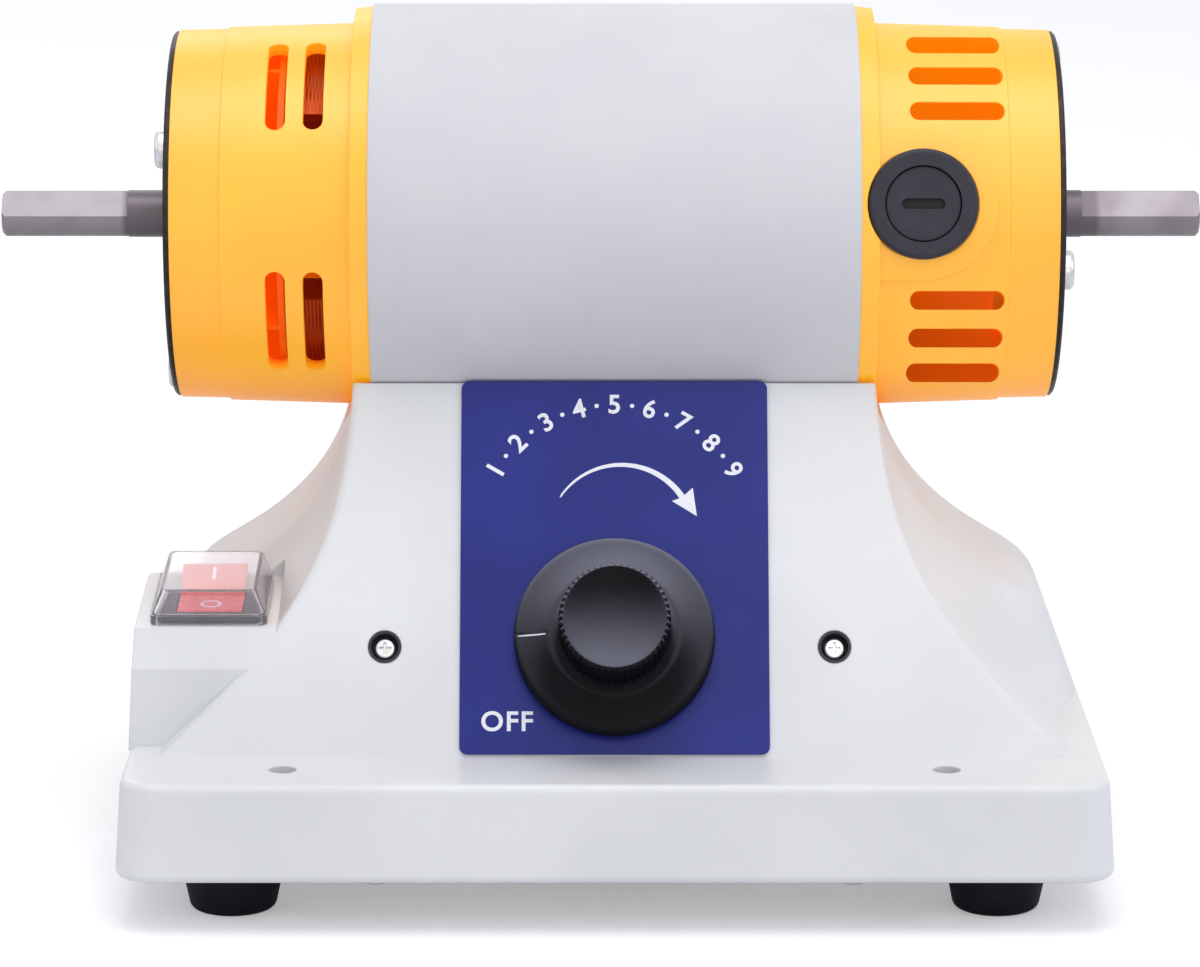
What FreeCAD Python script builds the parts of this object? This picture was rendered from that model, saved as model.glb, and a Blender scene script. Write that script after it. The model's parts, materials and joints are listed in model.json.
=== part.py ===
import FreeCAD, Part
import math
import os

V = FreeCAD.Vector

# Dental polishing lathe, millimetres. +X runs along the motor shaft to the operator's right, the operator
# stands at -Y, and the origin is on the bench, under the middle of the overall box.

# --- motor -----------------------------------------------------------------------------------------------
shaft_r = 6.0
tool_end_relief = 0.2  # the flatted ends are turned this much under the round necks
shaft_body_r = 7.5
shaft_flat_depth = 1.76
shaft_chamfer = 0.8
left_stickout = 44.5
right_stickout = 37.7
shaft_flat_angle = 45.0
left_neck = 12.3
right_neck = 7.5
motor_y = 9.7
assembly_turn = 11.7  # degrees that the wound motor is turned about its shaft
left_cap_turn = 13.0

sleeve_r = 53.6
sleeve_wall = 1.5
sleeve_half = 61.0
cap_flange_w = 4.6
cap_flange_drop = 0.6  # each step down in radius from the sleeve to the middle of the end plate
cap_drum_drop = 4.3
cap_drum_draft = 1.5
end_plate_drop = 0.6
end_screw_drop = 6.6
cap_ring_drop = 14.2
cap_step = 0.5
cap_step_w = 12.5
cap_wall = 3.0
cap_len = 49.5
cap_spigot = 6.0
end_plate_t = 1.5
end_screw_head_r = 4.9
end_screw_head_h = 2.5
end_screw_r = 2.0
end_screw_len = 12.0
end_screw_slot = 1.2
left_screw_angle = 32.8
right_screw_angle = -11.6
end_screw_count = 3
fit_gap = 0.2  # between moulded parts that slide into each other
past = 5.0  # how far cutters run past the faces that they open
end_boss_h = 8.0

bearing_r = 17.5
bearing_w = 11.0
bearing_float = 0.5
bearing_inner_r = 9.9
bearing_outer_in_r = 15.1
ball_r = 2.97
ball_count = 8
circlip_w = 1.0
circlip_r = 9.2
plate_hole_r = 8.8

core_left = 52.0
core_right = 30.0
air_gap = 0.8
yoke_t = 9.6
pole_half_angle = 56.0
slot_half_angle = 34.0
pole_tip = 2.7
coil_angle = 23.0
coil_over_left = 26.0
coil_over_right = 20.0
coil_gap = 0.6

armature_r = 28.0
armature_slots = 12
slot_depth = 10.0
slot_w = 5.6
slot_mouth = 2.6
armature_end_gap = 1.0
winding_over = 16.0
winding_r = 25.0
winding_crown = 6.0

commutator_r = 17.0
commutator_hub_r = 11.0
commutator_bars = 24
commutator_gap_deg = 1.4
commutator_w = 22.0
commutator_lip = 1.0
riser_h = 2.4
riser_w = 2.2

brush_x = 76.2
brush_w = 6.5
brush_t = 11.0
spring_room = 9.0
brush_clear = 0.1
brush_air = 0.05
brush_chamfer = 0.6
holder_flange_r = 13.7
holder_barrel_r = 10.0
holder_cap_r = 9.4
holder_proud = 2.1
holder_sunk = 1.6
holder_air = 2.5
cap_thickness = 4.4
cap_stub_r = 6.9
cap_stub_len = 4.5
cap_edge_r = 0.5
holder_edge_r = 1.2
coin_slot_len = 10.6
coin_slot_w = 2.6
coin_slot_depth = 1.5
brush_cap_drop = 0.7
pad_r = 18.8
pad_drop = 2.5
boss_r = 13.0
boss_inner = 30.0
spring_r = 2.6
spring_wire_r = 0.4
spring_coils = 6

fan_left = 92.5
fan_w = 10.0
fan_clear = 1.2
fan_hub_r = 13.0
fan_blades = 11
fan_blade_t = 1.4
fan_disc_t = 1.6

slot_left_x = (84.3, 74.9)
slot_left_w = 5.0
slot_left_angles = (21.5, 58.3)
slot_right_x = 85.2
slot_right_len = 23.6
slot_right_h = 4.6
slot_right_z = (23.5, 32.7, 41.2)

# --- base housing ----------------------------------------------------------------------------------------
base_w = 240.0
base_d = 200.0
base_draft = 1.5
base_corner = 9.0
base_bottom = 12.9
ledge_z = 37.3
base_edge_r = 2.0
wall = 3.0
front_lean = 26.5
rear_lean = 15.5
lip_y = -30.1
lip_z = 123.3
lip_land = 0.7
saddle_gap = 0.3
wing_front = -14.0
wing_rear = 46.0
wing_round = 16.0
corner_ease = 2.0
edge_reach = 0.4
# share of the way out to the wing, and share of the way in to it, along each flank
flank = ((0.0, 0.0), (0.06, 0.5), (0.4, 0.9), (0.75, 1.0))
# height above the ledge, half width of the leaned faces, half width of the wings
flare = (
    (0.0, 112.0, 118.8),
    (8.0, 103.2, 116.2),
    (15.0, 95.8, 113.8),
    (21.5, 89.9, 111.7),
    (26.0, 86.1, 110.0),
    (29.5, 83.4, 106.6),
    (33.0, 80.9, 100.6),
    (38.0, 77.6, 91.8),
    (45.0, 73.9, 83.3),
    (53.0, 70.6, 76.3),
    (63.0, 67.9, 71.0),
    (75.0, 66.2, 67.6),
    (86.0, 65.5, 66.4),
)

ledge_hole_r = 3.35
ledge_hole_x = 80.9
ledge_hole_y = 85.2
ledge_boss_r = 6.5
foot_x = 94.0
foot_y = 75.7
foot_r = 12.1
foot_foot_r = 10.4
foot_bore_r = 2.2
plate_t = 1.5
plate_gap = 0.4
plate_rim_gap = 0.6
plate_screw_r = 1.6
plate_boss_r = 4.5
plate_screw_x = 58.0
plate_screw_head_r = 3.2
plate_screw_head_h = 2.0
plate_screw_len = 12.0
foot_recess_r = 4.8
foot_recess_h = 6.0
foot_shoulder_h = 8.0
foot_edge_r = 2.2
foot_thread_out = 0.8
foot_screw_r = 2.0
foot_head_r = 3.8
foot_head_h = 2.4
foot_nut_af = 7.0
foot_nut_h = 3.2
vent_len = 46.0
vent_w = 4.0
vent_pitch = 9.0
vent_count = 5

panel_half = 38.2
panel_top = 0.4
panel_bottom = 95.6
panel_t = 0.8
panel_corner = 2.0
knob_s = 66.7

cup_x = 55.6
cup_mid = -1.2  # the pair of screw cups sits this far to the side of the dial
cup_s = 68.4
cup_r = 4.1
cup_depth = 4.0
cup_wall = 0.7
cup_screw_r = 1.5
cup_head_r = 2.9
cup_head_h = 1.8
cup_proud = 0.2
cup_boss_wall = 1.6
front_screw_out = 1.5
cup_slot = 0.7

knob_skirt_r = 24.75
knob_rim = 4.2
knob_cone_top = 7.7
knob_cone_r = 15.9
knob_grip_r = 13.7
knob_h = 24.5
knob_gap = 0.8
knob_wall = 1.6
knob_top_step = 0.8
knob_top_rim = 3.5
knob_edge = 1.0
knurl_depth = 0.7
knurl_start = 1.4
knob_hub_r = 6.0
knob_knurls = 44
knob_hub_z = 6.2
pointer_w = 1.0
pointer_depth = 0.5
set_screw_r = 1.5
set_screw_len = 3.6
set_screw_z = 12.0
set_slot = 0.6
pot_body_r = 12.0
pot_body_h = 9.0
pot_leg_w = 2.4
pot_leg_len = 10.0
pot_leg_pitch = 5.0
pot_leg_t = 0.8
pot_tail = 5.4
pot_bush_r = 4.75
pot_bush_out = 5.0
pot_shaft_r = 3.0
pot_shaft_out = 17.0
pot_nut_af = 12.0
pot_nut_h = 2.2
running_gap = 0.06
bracket_t = 1.5
bracket_boss_h = 3.0
bracket_half = 64.0
bracket_h = 26.0
bracket_corner = 3.0

switch_x = -100.6
deck_y = -58.5
deck_z = 66.4
deck_slope = 6.0
deck_len = 39.0
box_left = -118.6
box_right = -83.6
box_draft = 1.8
box_upright_z = 57.0  # the front of the switch block stands upright below this height
flange_w = 25.5
flange_l = 30.5
flange_t = 2.2
flange_corner = 1.6
flange_edge_r = 0.6
switch_body_w = 21.8
switch_body_l = 27.6
switch_body_h = 22.0
rocker_w = 16.2
rocker_half = 12.0
rocker_open_w = 16.8
rocker_open_half = 13.2
rocker_pivot = -2.0
rocker_end_h = 6.4
rocker_tilt = 10.0
rocker_waist = 5.0
rocker_side_low = 2.6
rocker_belly = 3.6
rocker_edge_r = 0.5
pin_r = 1.2
pin_len = 1.3
blade_t = 0.8
blade_w = 6.3
blade_len = 9.0
blade_dx = 5.0
blade_dy = 8.0
hood_w = 29.0
hood_l = 35.0
hood_top_w = 23.6
hood_top_l = 31.0
hood_h = 8.6
hood_wall = 0.8
hood_corner = 2.0
hood_step = 0.4
hood_edge_r = 0.9
hood_rim_h = 2.4
hood_set = 1.6
hip_len = 30.0
hip_low = 3.0
hip_top = 12.0
hip_set = 3.0
hip_slope = 30.0

gland_x = 38.0
gland_thread_r = 6.0
gland_bore_r = 3.6
gland_flange_r = 9.0
gland_flange_h = 2.5
gland_dome_r = 7.6
gland_dome_h = 9.0
gland_dome_taper = 1.6
gland_thread_len = 14.0
gland_nut_af = 17.0
gland_nut_h = 4.0
fuse_x = -38.0
fuse_body_r = 6.5
fuse_body_len = 30.0
fuse_bezel_r = 8.2
fuse_bezel_h = 1.8
fuse_cap_r = 5.6
fuse_cap_h = 6.0
fuse_r = 2.6
fuse_len = 20.0
fuse_floor = 2.0
fuse_slot_w = 1.2
fuse_slot_depth = 1.4
fuse_cap_edge_r = 0.8
rear_fitting_h = 30.0

board_w = 92.0
board_d = 62.0
board_t = 1.6
board_x = 22.0
board_y = 8.0
standoff_h = 8.0
standoff_r = 3.2
board_screw_r = 1.3
board_head_r = 2.7
board_head_h = 1.8
board_screw_len = 6.0
board_slot = 0.7
board_screw_inset = 5.0
sink_dx = 20.0
sink_dy = 12.0
sink_web = 2.0
sink_back = 4.5
sink_w = 42.0
sink_d = 14.0
sink_h = 25.0
sink_fins = 8
triac_w = 10.2
triac_d = 4.4
triac_h = 15.0
leg_h = 4.0
leg_w = 0.9
leg_d = 0.6
leg_pitch = 2.5
capacitor_w = 26.0
capacitor_d = 11.0
capacitor_h = 19.0
capacitor_dx = -24.0
capacitor_dy = -8.0
capacitor_edge_r = 1.0
choke_r = 9.0
choke_wire_r = 4.0
choke_dx = -22.0
choke_dy = 14.0

cradle_bolt_r = 2.5
cradle_bolt_x = (-42.0, 22.0)
cradle_bolt_angle = 22.0
cradle_head_r = 4.6
cradle_head_h = 3.2
cradle_bolt_grip = 6.0

# --- derived places --------------------------------------------------------------------------------------
motor_z = lip_z + math.sqrt(sleeve_r ** 2 - (motor_y - lip_y) ** 2)
rear_lip_y = 2 * motor_y - lip_y
cap_end = sleeve_half + cap_len
plate_face = cap_end + end_plate_t
shaft_left = -(plate_face + left_stickout)
shaft_right = plate_face + right_stickout
body_x = -(shaft_left + shaft_right) / 2
plate_z = base_bottom + plate_gap
plate_top = plate_z + plate_t
plate_edge_x = base_w / 2 - wall - plate_boss_r + 1.0
plate_edge_y = base_d / 2 - wall - plate_boss_r + 1.0
plate_screw_spots = [(sx * plate_edge_x, 0.0) for sx in (-1, 1)]
plate_screw_spots += [(sx * plate_screw_x, sy * plate_edge_y) for sx in (-1, 1) for sy in (-1, 1)]
tool_end_r = shaft_r - tool_end_relief
saddle_r = sleeve_r + saddle_gap
cap_flange_r = sleeve_r - cap_flange_drop
cap_r_in = cap_flange_r - cap_drum_drop
cap_r_out = cap_r_in - cap_drum_draft
cap_end_ring_r = cap_r_out - cap_ring_drop
end_plate_r = cap_r_out - end_plate_drop
end_screw_pcd_r = end_plate_r - end_screw_drop
cap_bore = cap_r_in - cap_wall
fan_r = cap_r_out - cap_wall - fan_clear
yoke_inner = sleeve_r - sleeve_wall - yoke_t
pole_bore = armature_r + air_gap
pad_surface = cap_flange_r - pad_drop
holder_face = pad_surface + holder_proud
holder_seat = pad_surface - holder_sunk
holder_inner = commutator_r + holder_air
cap_face = holder_face - brush_cap_drop
cap_seat = cap_face - cap_thickness
stub_end = cap_seat - cap_stub_len
pole_tip_r = pole_bore + pole_tip
armature_left = armature_end_gap - core_left
armature_right = core_right - armature_end_gap
brush_len = stub_end - commutator_r - spring_room
brush_top = commutator_r + brush_air + brush_len
bracket_back = -wall - bracket_boss_h - bracket_t
knob_base = panel_t + knob_gap
knob_cone = knob_base + knob_cone_top
board_top = plate_top + standoff_h + board_t
brush_angles = (assembly_turn, assembly_turn + 180)
cup_spots = (cup_mid - cup_x, cup_mid + cup_x)
cradle_spots = [(x, -90 + s * cradle_bolt_angle) for x in cradle_bolt_x for s in (-1, 1)]
motor_axis = V(0, motor_y, motor_z)
lean = math.radians(front_lean)
rear = math.radians(rear_lean)
rear_s = (lip_z - ledge_z - rear_fitting_h) / math.cos(rear)
X = V(1, 0, 0)

pieces = {}


def radial(angle):
    """Unit vector square to the shaft; 0 degrees is forward and 90 is up."""
    a = math.radians(angle)
    return V(0, -math.cos(a), math.sin(a))


def cyl_x(r, x0, x1):
    return Part.makeCylinder(r, x1 - x0, V(x0, motor_y, motor_z), X)


def ring_x(r_out, r_in, x0, x1):
    return cyl_x(r_out, x0, x1).cut(cyl_x(r_in, x0 - 1, x1 + 1))


def turned(points):
    """Solid turned about the shaft from (x, radius) points."""
    wire = Part.makePolygon([V(x, motor_y, motor_z + r) for x, r in points + points[:1]])
    return Part.Face(wire).revolve(motor_axis, X, 360)


def sector_x(r_in, r_out, x0, x1, a0, a1):
    """Annular sector about the shaft between two angles."""
    corners = ((x0, r_in), (x1, r_in), (x1, r_out), (x0, r_out), (x0, r_in))
    wire = Part.makePolygon([motor_axis + X * x + radial(a0) * r for x, r in corners])
    return Part.Face(wire).revolve(motor_axis, V(-1, 0, 0), a1 - a0)


def spoke(r, r0, r1, x, angle):
    """Cylinder along a radius of the motor."""
    return Part.makeCylinder(r, r1 - r0, motor_axis + X * x + radial(angle) * r0, radial(angle))


def frame_at(origin, u, v, w):
    """Placement whose local x, y, z run along u, v, w."""
    m = FreeCAD.Matrix(u.x, v.x, w.x, origin.x, u.y, v.y, w.y, origin.y, u.z, v.z, w.z, origin.z, 0, 0, 0, 1)
    return FreeCAD.Placement(m)


def placed(shape, frame):
    moved = shape.copy()
    moved.Placement = frame.multiply(moved.Placement)
    return moved


def box_at(x, y, z, w, d, h):
    """Box centred on x and y with its bottom at z."""
    return Part.makeBox(w, d, h, V(x - w / 2, y - d / 2, z))


def rounded_rect(w, d, r, z, x=0.0, y=0.0):
    """Closed wire of a rounded rectangle in a level plane."""
    a, b = w / 2, d / 2
    k = r * (1 - math.sqrt(0.5))
    edges = []
    for sx, sy, flip in ((1, 1, False), (-1, 1, True), (-1, -1, False), (1, -1, True)):
        p = V(x + sx * a, y + sy * (b - r), z)
        m = V(x + sx * (a - k), y + sy * (b - k), z)
        q = V(x + sx * (a - r), y + sy * b, z)
        start, end = (q, p) if flip else (p, q)
        edges.append((start, m, end))
    parts = []
    for i, (start, mid, end) in enumerate(edges):
        parts.append(Part.Arc(start, mid, end).toShape())
        following = edges[(i + 1) % 4][0]
        if (following - end).Length > 1e-6:
            parts.append(Part.LineSegment(end, following).toShape())
    return Part.Wire(parts)


def slab(wire, h):
    return Part.Face(wire).extrude(V(0, 0, h))


def upright(r, x, y, z0, z1):
    """Upright cylinder between two heights."""
    return Part.makeCylinder(r, z1 - z0, V(x, y, z0))


def four(x, y):
    return [(sx * x, sy * y) for sx in (-1, 1) for sy in (-1, 1)]


def nut(af, h, bore_r):
    """Hexagon nut standing on z = 0."""
    r = af / math.sqrt(3)
    ring = [V(r * math.cos(k * math.pi / 3), r * math.sin(k * math.pi / 3), 0) for k in range(7)]
    body = Part.Face(Part.makePolygon(ring)).extrude(V(0, 0, h))
    crown = Part.makeCone(af / 2 + h, af / 2, h)
    return body.common(crown.fuse(Part.makeCylinder(r, h - (r - af / 2)))).cut(Part.makeCylinder(bore_r, h))


def lathe(points):
    """Solid turned about the local z axis from (radius, z) points."""
    wire = Part.makePolygon([V(r, 0, z) for r, z in points + points[:1]])
    return Part.Face(wire).revolve(V(0, 0, 0), V(0, 0, 1), 360)


def group(shapes):
    """Separate solids that share a node."""
    return Part.makeCompound([solid for shape in shapes for solid in shape.Solids])


def pan_head(r, h, shank_r, shank_len, slot_w=0.9):
    """Pan-head screw, head up along +Z with its seat at z = 0, with a cross recess."""
    head = Part.makeCylinder(r, h)
    head = head.makeFillet(h * 0.55, [e for e in head.Edges if e.BoundBox.ZMin > h - 1e-6])
    arm = r * 1.05
    cross = box_at(0, 0, h * 0.45, arm, slot_w, h).fuse(box_at(0, 0, h * 0.45, slot_w, arm, h))
    return head.cut(cross).fuse(Part.makeCylinder(shank_r, shank_len, V(0, 0, -shank_len)))


def along(direction, origin):
    """Placement that turns +Z to a direction."""
    return FreeCAD.Placement(origin, FreeCAD.Rotation(V(0, 0, 1), direction))


def front_y(z):
    return lip_y - (lip_z - z) * math.tan(lean)


def rear_y(z):
    return rear_lip_y + (lip_z - z) * math.tan(rear)


front_face = frame_at(V(0, lip_y, lip_z), X, V(0, math.sin(lean), math.cos(lean)),
                      V(0, -math.cos(lean), math.sin(lean)))
rear_face = frame_at(V(0, rear_lip_y, lip_z), V(-1, 0, 0), V(0, -math.sin(rear), math.cos(rear)),
                     V(0, math.cos(rear), math.sin(rear)))
deck_angle = math.radians(deck_slope)
deck = frame_at(V(switch_x, deck_y, deck_z), X, V(0, math.cos(deck_angle), math.sin(deck_angle)),
                V(0, -math.sin(deck_angle), math.cos(deck_angle)))


def on_front(shape, x, s, h=0.0):
    """Shape whose z leaves the front face, set at x and a distance down from the lip."""
    return placed(shape.translated(V(x, -s, h)), front_face)


def on_rear(shape, x):
    """Shape whose z leaves the rear face, at the height of the rear fittings."""
    return placed(shape.translated(V(-x, -rear_s, 0)), rear_face)


def on_deck(shape, x=0.0, y=0.0, z=0.0):
    """Shape whose z leaves the switch deck, measured from the middle of the switch."""
    return placed(shape.translated(V(x, hood_set + hood_l / 2 + y, z)), deck)


# --- housing ---------------------------------------------------------------------------------------------
def flare_rows(inset):
    """Height and half widths of each level of the pylon, moved in square to its slopes."""
    pitch = (lip_z - lip_land - ledge_z) / flare[-1][0]
    rows = []
    for i, (h, face_half, wing_half) in enumerate(flare):
        below, above = flare[max(i - 1, 0)], flare[min(i + 1, len(flare) - 1)]
        rise = (above[0] - below[0]) * pitch
        halves = [w - inset * math.hypot(1, (below[k] - above[k]) / rise)
                  for k, w in ((1, face_half), (2, wing_half))]
        rows.append((ledge_z + h * pitch, halves[0], max(halves[1], halves[0] + edge_reach)))
    return rows


def clamped(count, degree):
    """Knots and multiplicities of a clamped uniform spline with that many poles."""
    spans = count - degree
    return [i / spans for i in range(spans + 1)], [degree + 1] + [1] * (spans - 1) + [degree + 1]


def spline_face(grid, u_degree, v_degree):
    u_knots, u_mults = clamped(len(grid), u_degree)
    v_knots, v_mults = clamped(len(grid[0]), v_degree)
    surface = Part.BSplineSurface()
    surface.buildFromPolesMultsKnots(grid, u_mults, v_mults, u_knots, v_knots, False, False,
                                     u_degree, v_degree)
    return surface.toShape()


def tower(inset):
    """Pylon: two leaned faces, two wings and four hollow flanks that sweep from the faces to the wings."""
    rows = flare_rows(inset)
    front = [front_y(z) + inset / math.cos(lean) for z, wf, ws in rows]
    rear_edge = [rear_y(z) - inset / math.cos(rear) for z, wf, ws in rows]
    r = wing_round
    faces = []
    for sx in (-1, 1):
        for edge, stop, turn in ((front, wing_front + inset, 1), (rear_edge, wing_rear - inset, -1)):
            grid = []
            for (z, wf, ws), y in zip(rows, edge):
                stations = [(wf + out * (ws - wf), y + back * (stop - y)) for out, back in flank]
                stations += [(ws, stop + turn * r / 4), (ws, stop + turn * r)]
                grid.append([V(sx * x, yy, z) for x, yy in stations])
            faces.append(spline_face(list(zip(*grid)), 3, 3))
        y_ends = (wing_front + inset + r, wing_rear - inset - r)
        faces.append(spline_face([[V(sx * ws, y, z) for z, wf, ws in rows] for y in y_ends], 1, 3))
    for edge in (front, rear_edge):
        rims = [[V(sx * wf, y, z) for (z, wf, ws), y in zip(rows, edge)] for sx in (-1, 1)]
        faces.append(spline_face(rims, 1, 3))
    for level in (0, -1):
        caps = [e for f in faces for e in f.Edges if e.BoundBox.ZLength < 1e-4
                and abs(e.BoundBox.ZMin - rows[level][0]) < 1e-4]
        faces.append(Part.Face(Part.Wire(Part.__sortEdges__(caps))))
    shell = Part.makeShell(faces)
    shell.sewShape()
    solid = Part.makeSolid(shell)
    if solid.Volume < 0:
        solid.reverse()
    return Part.makeSolid(Part.makeShell(solid.Faces))


def rounded_tower():
    """Pylon with its four long corners eased."""
    solid = tower(0)
    tall = [e for e in solid.Edges if e.BoundBox.ZLength > (lip_z - ledge_z) / 2]
    corners = [e for e in tall if e.BoundBox.YLength > 1.0]
    return solid.makeFillet(corner_ease, corners)


def switch_box(inset):
    """Block on the left shoulder that carries the switch, cut down to the deck plane, with a hip behind."""
    low = ledge_z - 1.0
    high = deck_z + deck_len

    def outline(z, side, tail):
        y_front = front_y(z) + inset / math.cos(lean)
        y_back = deck_y + deck_len
        points = [(box_right, y_front), (side, y_front), (side, y_back), (side + tail, y_back + hip_len),
                  (box_right, y_back + hip_len)]
        return Part.makePolygon([V(x, y, z) for x, y in points + points[:1]])

    block = Part.makeLoft([outline(low, box_left - box_draft + inset, hip_low),
                           outline(high, box_left + box_draft + inset, hip_top)], True, True)
    reach = 2 * deck_len
    above = placed(Part.makeBox(2 * reach, 2 * reach, reach, V(-reach, -past * 4, -inset)), deck)
    hip = FreeCAD.Placement(V(0, deck_len + hip_set, -inset), FreeCAD.Rotation(X, -hip_slope))
    behind = placed(Part.makeBox(2 * reach, 2 * reach, reach, V(-reach, 0, 0)), deck.multiply(hip))
    y_upright = front_y(box_upright_z) + inset
    before = Part.makeBox(reach, reach, box_upright_z + inset, V(-2 * reach, y_upright - reach, 0))
    return block.cut([above, behind, before])


def base_outer():
    bottom = rounded_rect(base_w + 2 * base_draft, base_d + 2 * base_draft, base_corner, base_bottom)
    block = Part.makeLoft([bottom, rounded_rect(base_w, base_d, base_corner, ledge_z)], True, True)
    level = [e for e in block.Edges if e.BoundBox.ZLength < 0.01]
    block = block.makeFillet(base_edge_r, level)
    outer = block.fuse([rounded_tower(), switch_box(0)])
    return outer.cut([deck_pocket(0), cyl_x(saddle_r, -base_w / 2, base_w / 2)])


def base_inner():
    """Room inside the housing, one wall in from every outer face."""
    inner_corner = base_corner - wall
    w, d = base_w - 2 * wall, base_d - 2 * wall
    low = rounded_rect(w + 2 * base_draft, d + 2 * base_draft, inner_corner, base_bottom - 1)
    high = rounded_rect(w, d, inner_corner, ledge_z - wall)
    room = Part.makeLoft([low, high], True, True)
    upper_room = tower(wall)
    floor = [f for f in upper_room.Faces if f.BoundBox.ZMax < ledge_z + 0.01][0]
    upper_room = upper_room.fuse(floor.extrude(V(0, 0, -wall - 1))).cut(deck_pocket(wall))
    inner = upper_room.fuse([room, switch_box(wall)])
    return inner.cut(cyl_x(saddle_r + wall, -base_w / 2, base_w / 2))


def deck_pocket(inset):
    """Space over the switch deck, let into the pylon."""
    left = box_left - 2 * past - switch_x
    right = box_right - switch_x + inset
    return placed(Part.makeBox(right - left, deck_len + inset, deck_len, V(left, 0, -inset)), deck)


def base_housing():
    posts = []
    holes = []
    post_top = ledge_z - wall / 2
    for x, y in four(ledge_hole_x, ledge_hole_y):
        posts.append(upright(ledge_boss_r, x, y, plate_top, post_top))
        holes.append(upright(ledge_hole_r, x, y, base_bottom, ledge_z + past))
    for x, y in plate_screw_spots:
        posts.append(upright(plate_boss_r, x, y, plate_top, post_top))
        holes.append(upright(plate_screw_r, x, y, base_bottom, plate_z + plate_screw_len))
    boss_back = -wall - bracket_boss_h
    for x in cup_spots:
        posts.append(on_front(Part.makeCylinder(cup_r + cup_boss_wall, -boss_back), x, cup_s, boss_back))
        holes.append(on_front(Part.makeCylinder(cup_r, cup_depth + past), x, cup_s, -cup_depth))
        holes.append(on_front(Part.makeCylinder(cup_screw_r, past - boss_back), x, cup_s, boss_back - past))
    deep = -wall - past
    thick = wall + 2 * past
    holes.append(on_front(Part.makeCylinder(pot_bush_r + fit_gap, thick), 0.0, knob_s, deep))
    room = 2 * fit_gap
    holes.append(on_deck(box_at(0, 0, deep, switch_body_w + room, switch_body_l + room, thick)))
    for x, r in ((gland_x, gland_thread_r), (fuse_x, fuse_body_r)):
        holes.append(on_rear(Part.makeCylinder(r + fit_gap, thick, V(0, 0, deep)), x))
    for x, angle in cradle_spots:
        holes.append(spoke(cradle_bolt_r + fit_gap, sleeve_r - past, saddle_r + wall + past, x, angle))
    return base_outer().cut(base_inner()).fuse(posts).cut(holes)


def bottom_plate():
    w = base_w + 2 * (base_draft - wall - plate_rim_gap)
    d = base_d + 2 * (base_draft - wall - plate_rim_gap)
    plate = slab(rounded_rect(w, d, base_corner - wall, plate_z), plate_t)
    spots = [(plate_screw_r + fit_gap, x, y) for x, y in plate_screw_spots]
    spots += [(ledge_hole_r, x, y) for x, y in four(ledge_hole_x, ledge_hole_y)]
    spots += [(foot_screw_r + fit_gap, x, y) for x, y in four(foot_x, foot_y)]
    holes = [upright(r, x, y, plate_z - past, plate_top + past) for r, x, y in spots]
    for side in (-1, 1):
        first = board_y + side * (board_d / 2 + vent_w)
        rows = [first + side * i * vent_pitch for i in range(vent_count)]
        for y in rows:
            if abs(y) < d / 2 - 2 * plate_boss_r - vent_w:
                vent = rounded_rect(vent_len, vent_w, vent_w * 0.49, plate_z - past, 0.0, y)
                holes.append(slab(vent, plate_t + 2 * past))
    return plate.cut(holes)


def foot_shape():
    foot = lathe([(foot_bore_r, foot_recess_h), (foot_recess_r, foot_recess_h), (foot_recess_r, 0.0),
                  (foot_foot_r, 0.0), (foot_r, foot_shoulder_h), (foot_r, plate_z), (foot_bore_r, plate_z)])
    soles = [e for e in foot.Edges if e.BoundBox.ZMax < 0.01]
    return foot.makeFillet(foot_edge_r, [e for e in soles if e.BoundBox.XLength > 2 * foot_recess_r + 1])


def base_group():
    pieces["base_housing"] = base_housing()
    pieces["bottom_plate"] = bottom_plate()
    down = V(0, 0, -1)
    screw = pan_head(plate_screw_head_r, plate_screw_head_h, plate_screw_r, plate_screw_len)
    seats = [V(x, y, plate_z) for x, y in plate_screw_spots]
    pieces["bottom_screws"] = group(placed(screw, along(down, seat)) for seat in seats)
    foot = foot_shape()
    foot_screw_len = plate_top + foot_nut_h + foot_thread_out - foot_recess_h
    screw = pan_head(foot_head_r, foot_head_h, foot_screw_r, foot_screw_len)
    hex_nut = nut(foot_nut_af, foot_nut_h, foot_screw_r)
    spots = four(foot_x, foot_y)
    pieces["rubber_feet"] = group(foot.translated(V(x, y, 0)) for x, y in spots)
    pieces["foot_screws"] = group(placed(screw, along(down, V(x, y, foot_recess_h))) for x, y in spots)
    pieces["foot_nuts"] = group(hex_nut.translated(V(x, y, plate_top)) for x, y in spots)


# --- motor casing ----------------------------------------------------------------------------------------
def motor_sleeve():
    tube = ring_x(sleeve_r, sleeve_r - sleeve_wall, -sleeve_half, sleeve_half)
    bolt_r = cradle_bolt_r + fit_gap / 2
    return tube.cut([spoke(bolt_r, sleeve_r - past, sleeve_r + past, x, a) for x, a in cradle_spots])


def screw_spots(side, x):
    """Places of the end plate screws at one end, a distance x from the middle."""
    first = left_screw_angle if side < 0 else right_screw_angle
    return [motor_axis + X * (side * x) + radial(first + k * 360 / end_screw_count) * end_screw_pcd_r
            for k in range(end_screw_count)]


def brush_frame(angle):
    """Frame on the shaft axis at the brushes whose z runs out along the brush."""
    w = radial(angle)
    return frame_at(motor_axis + X * brush_x, X, w.cross(X), w)


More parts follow.
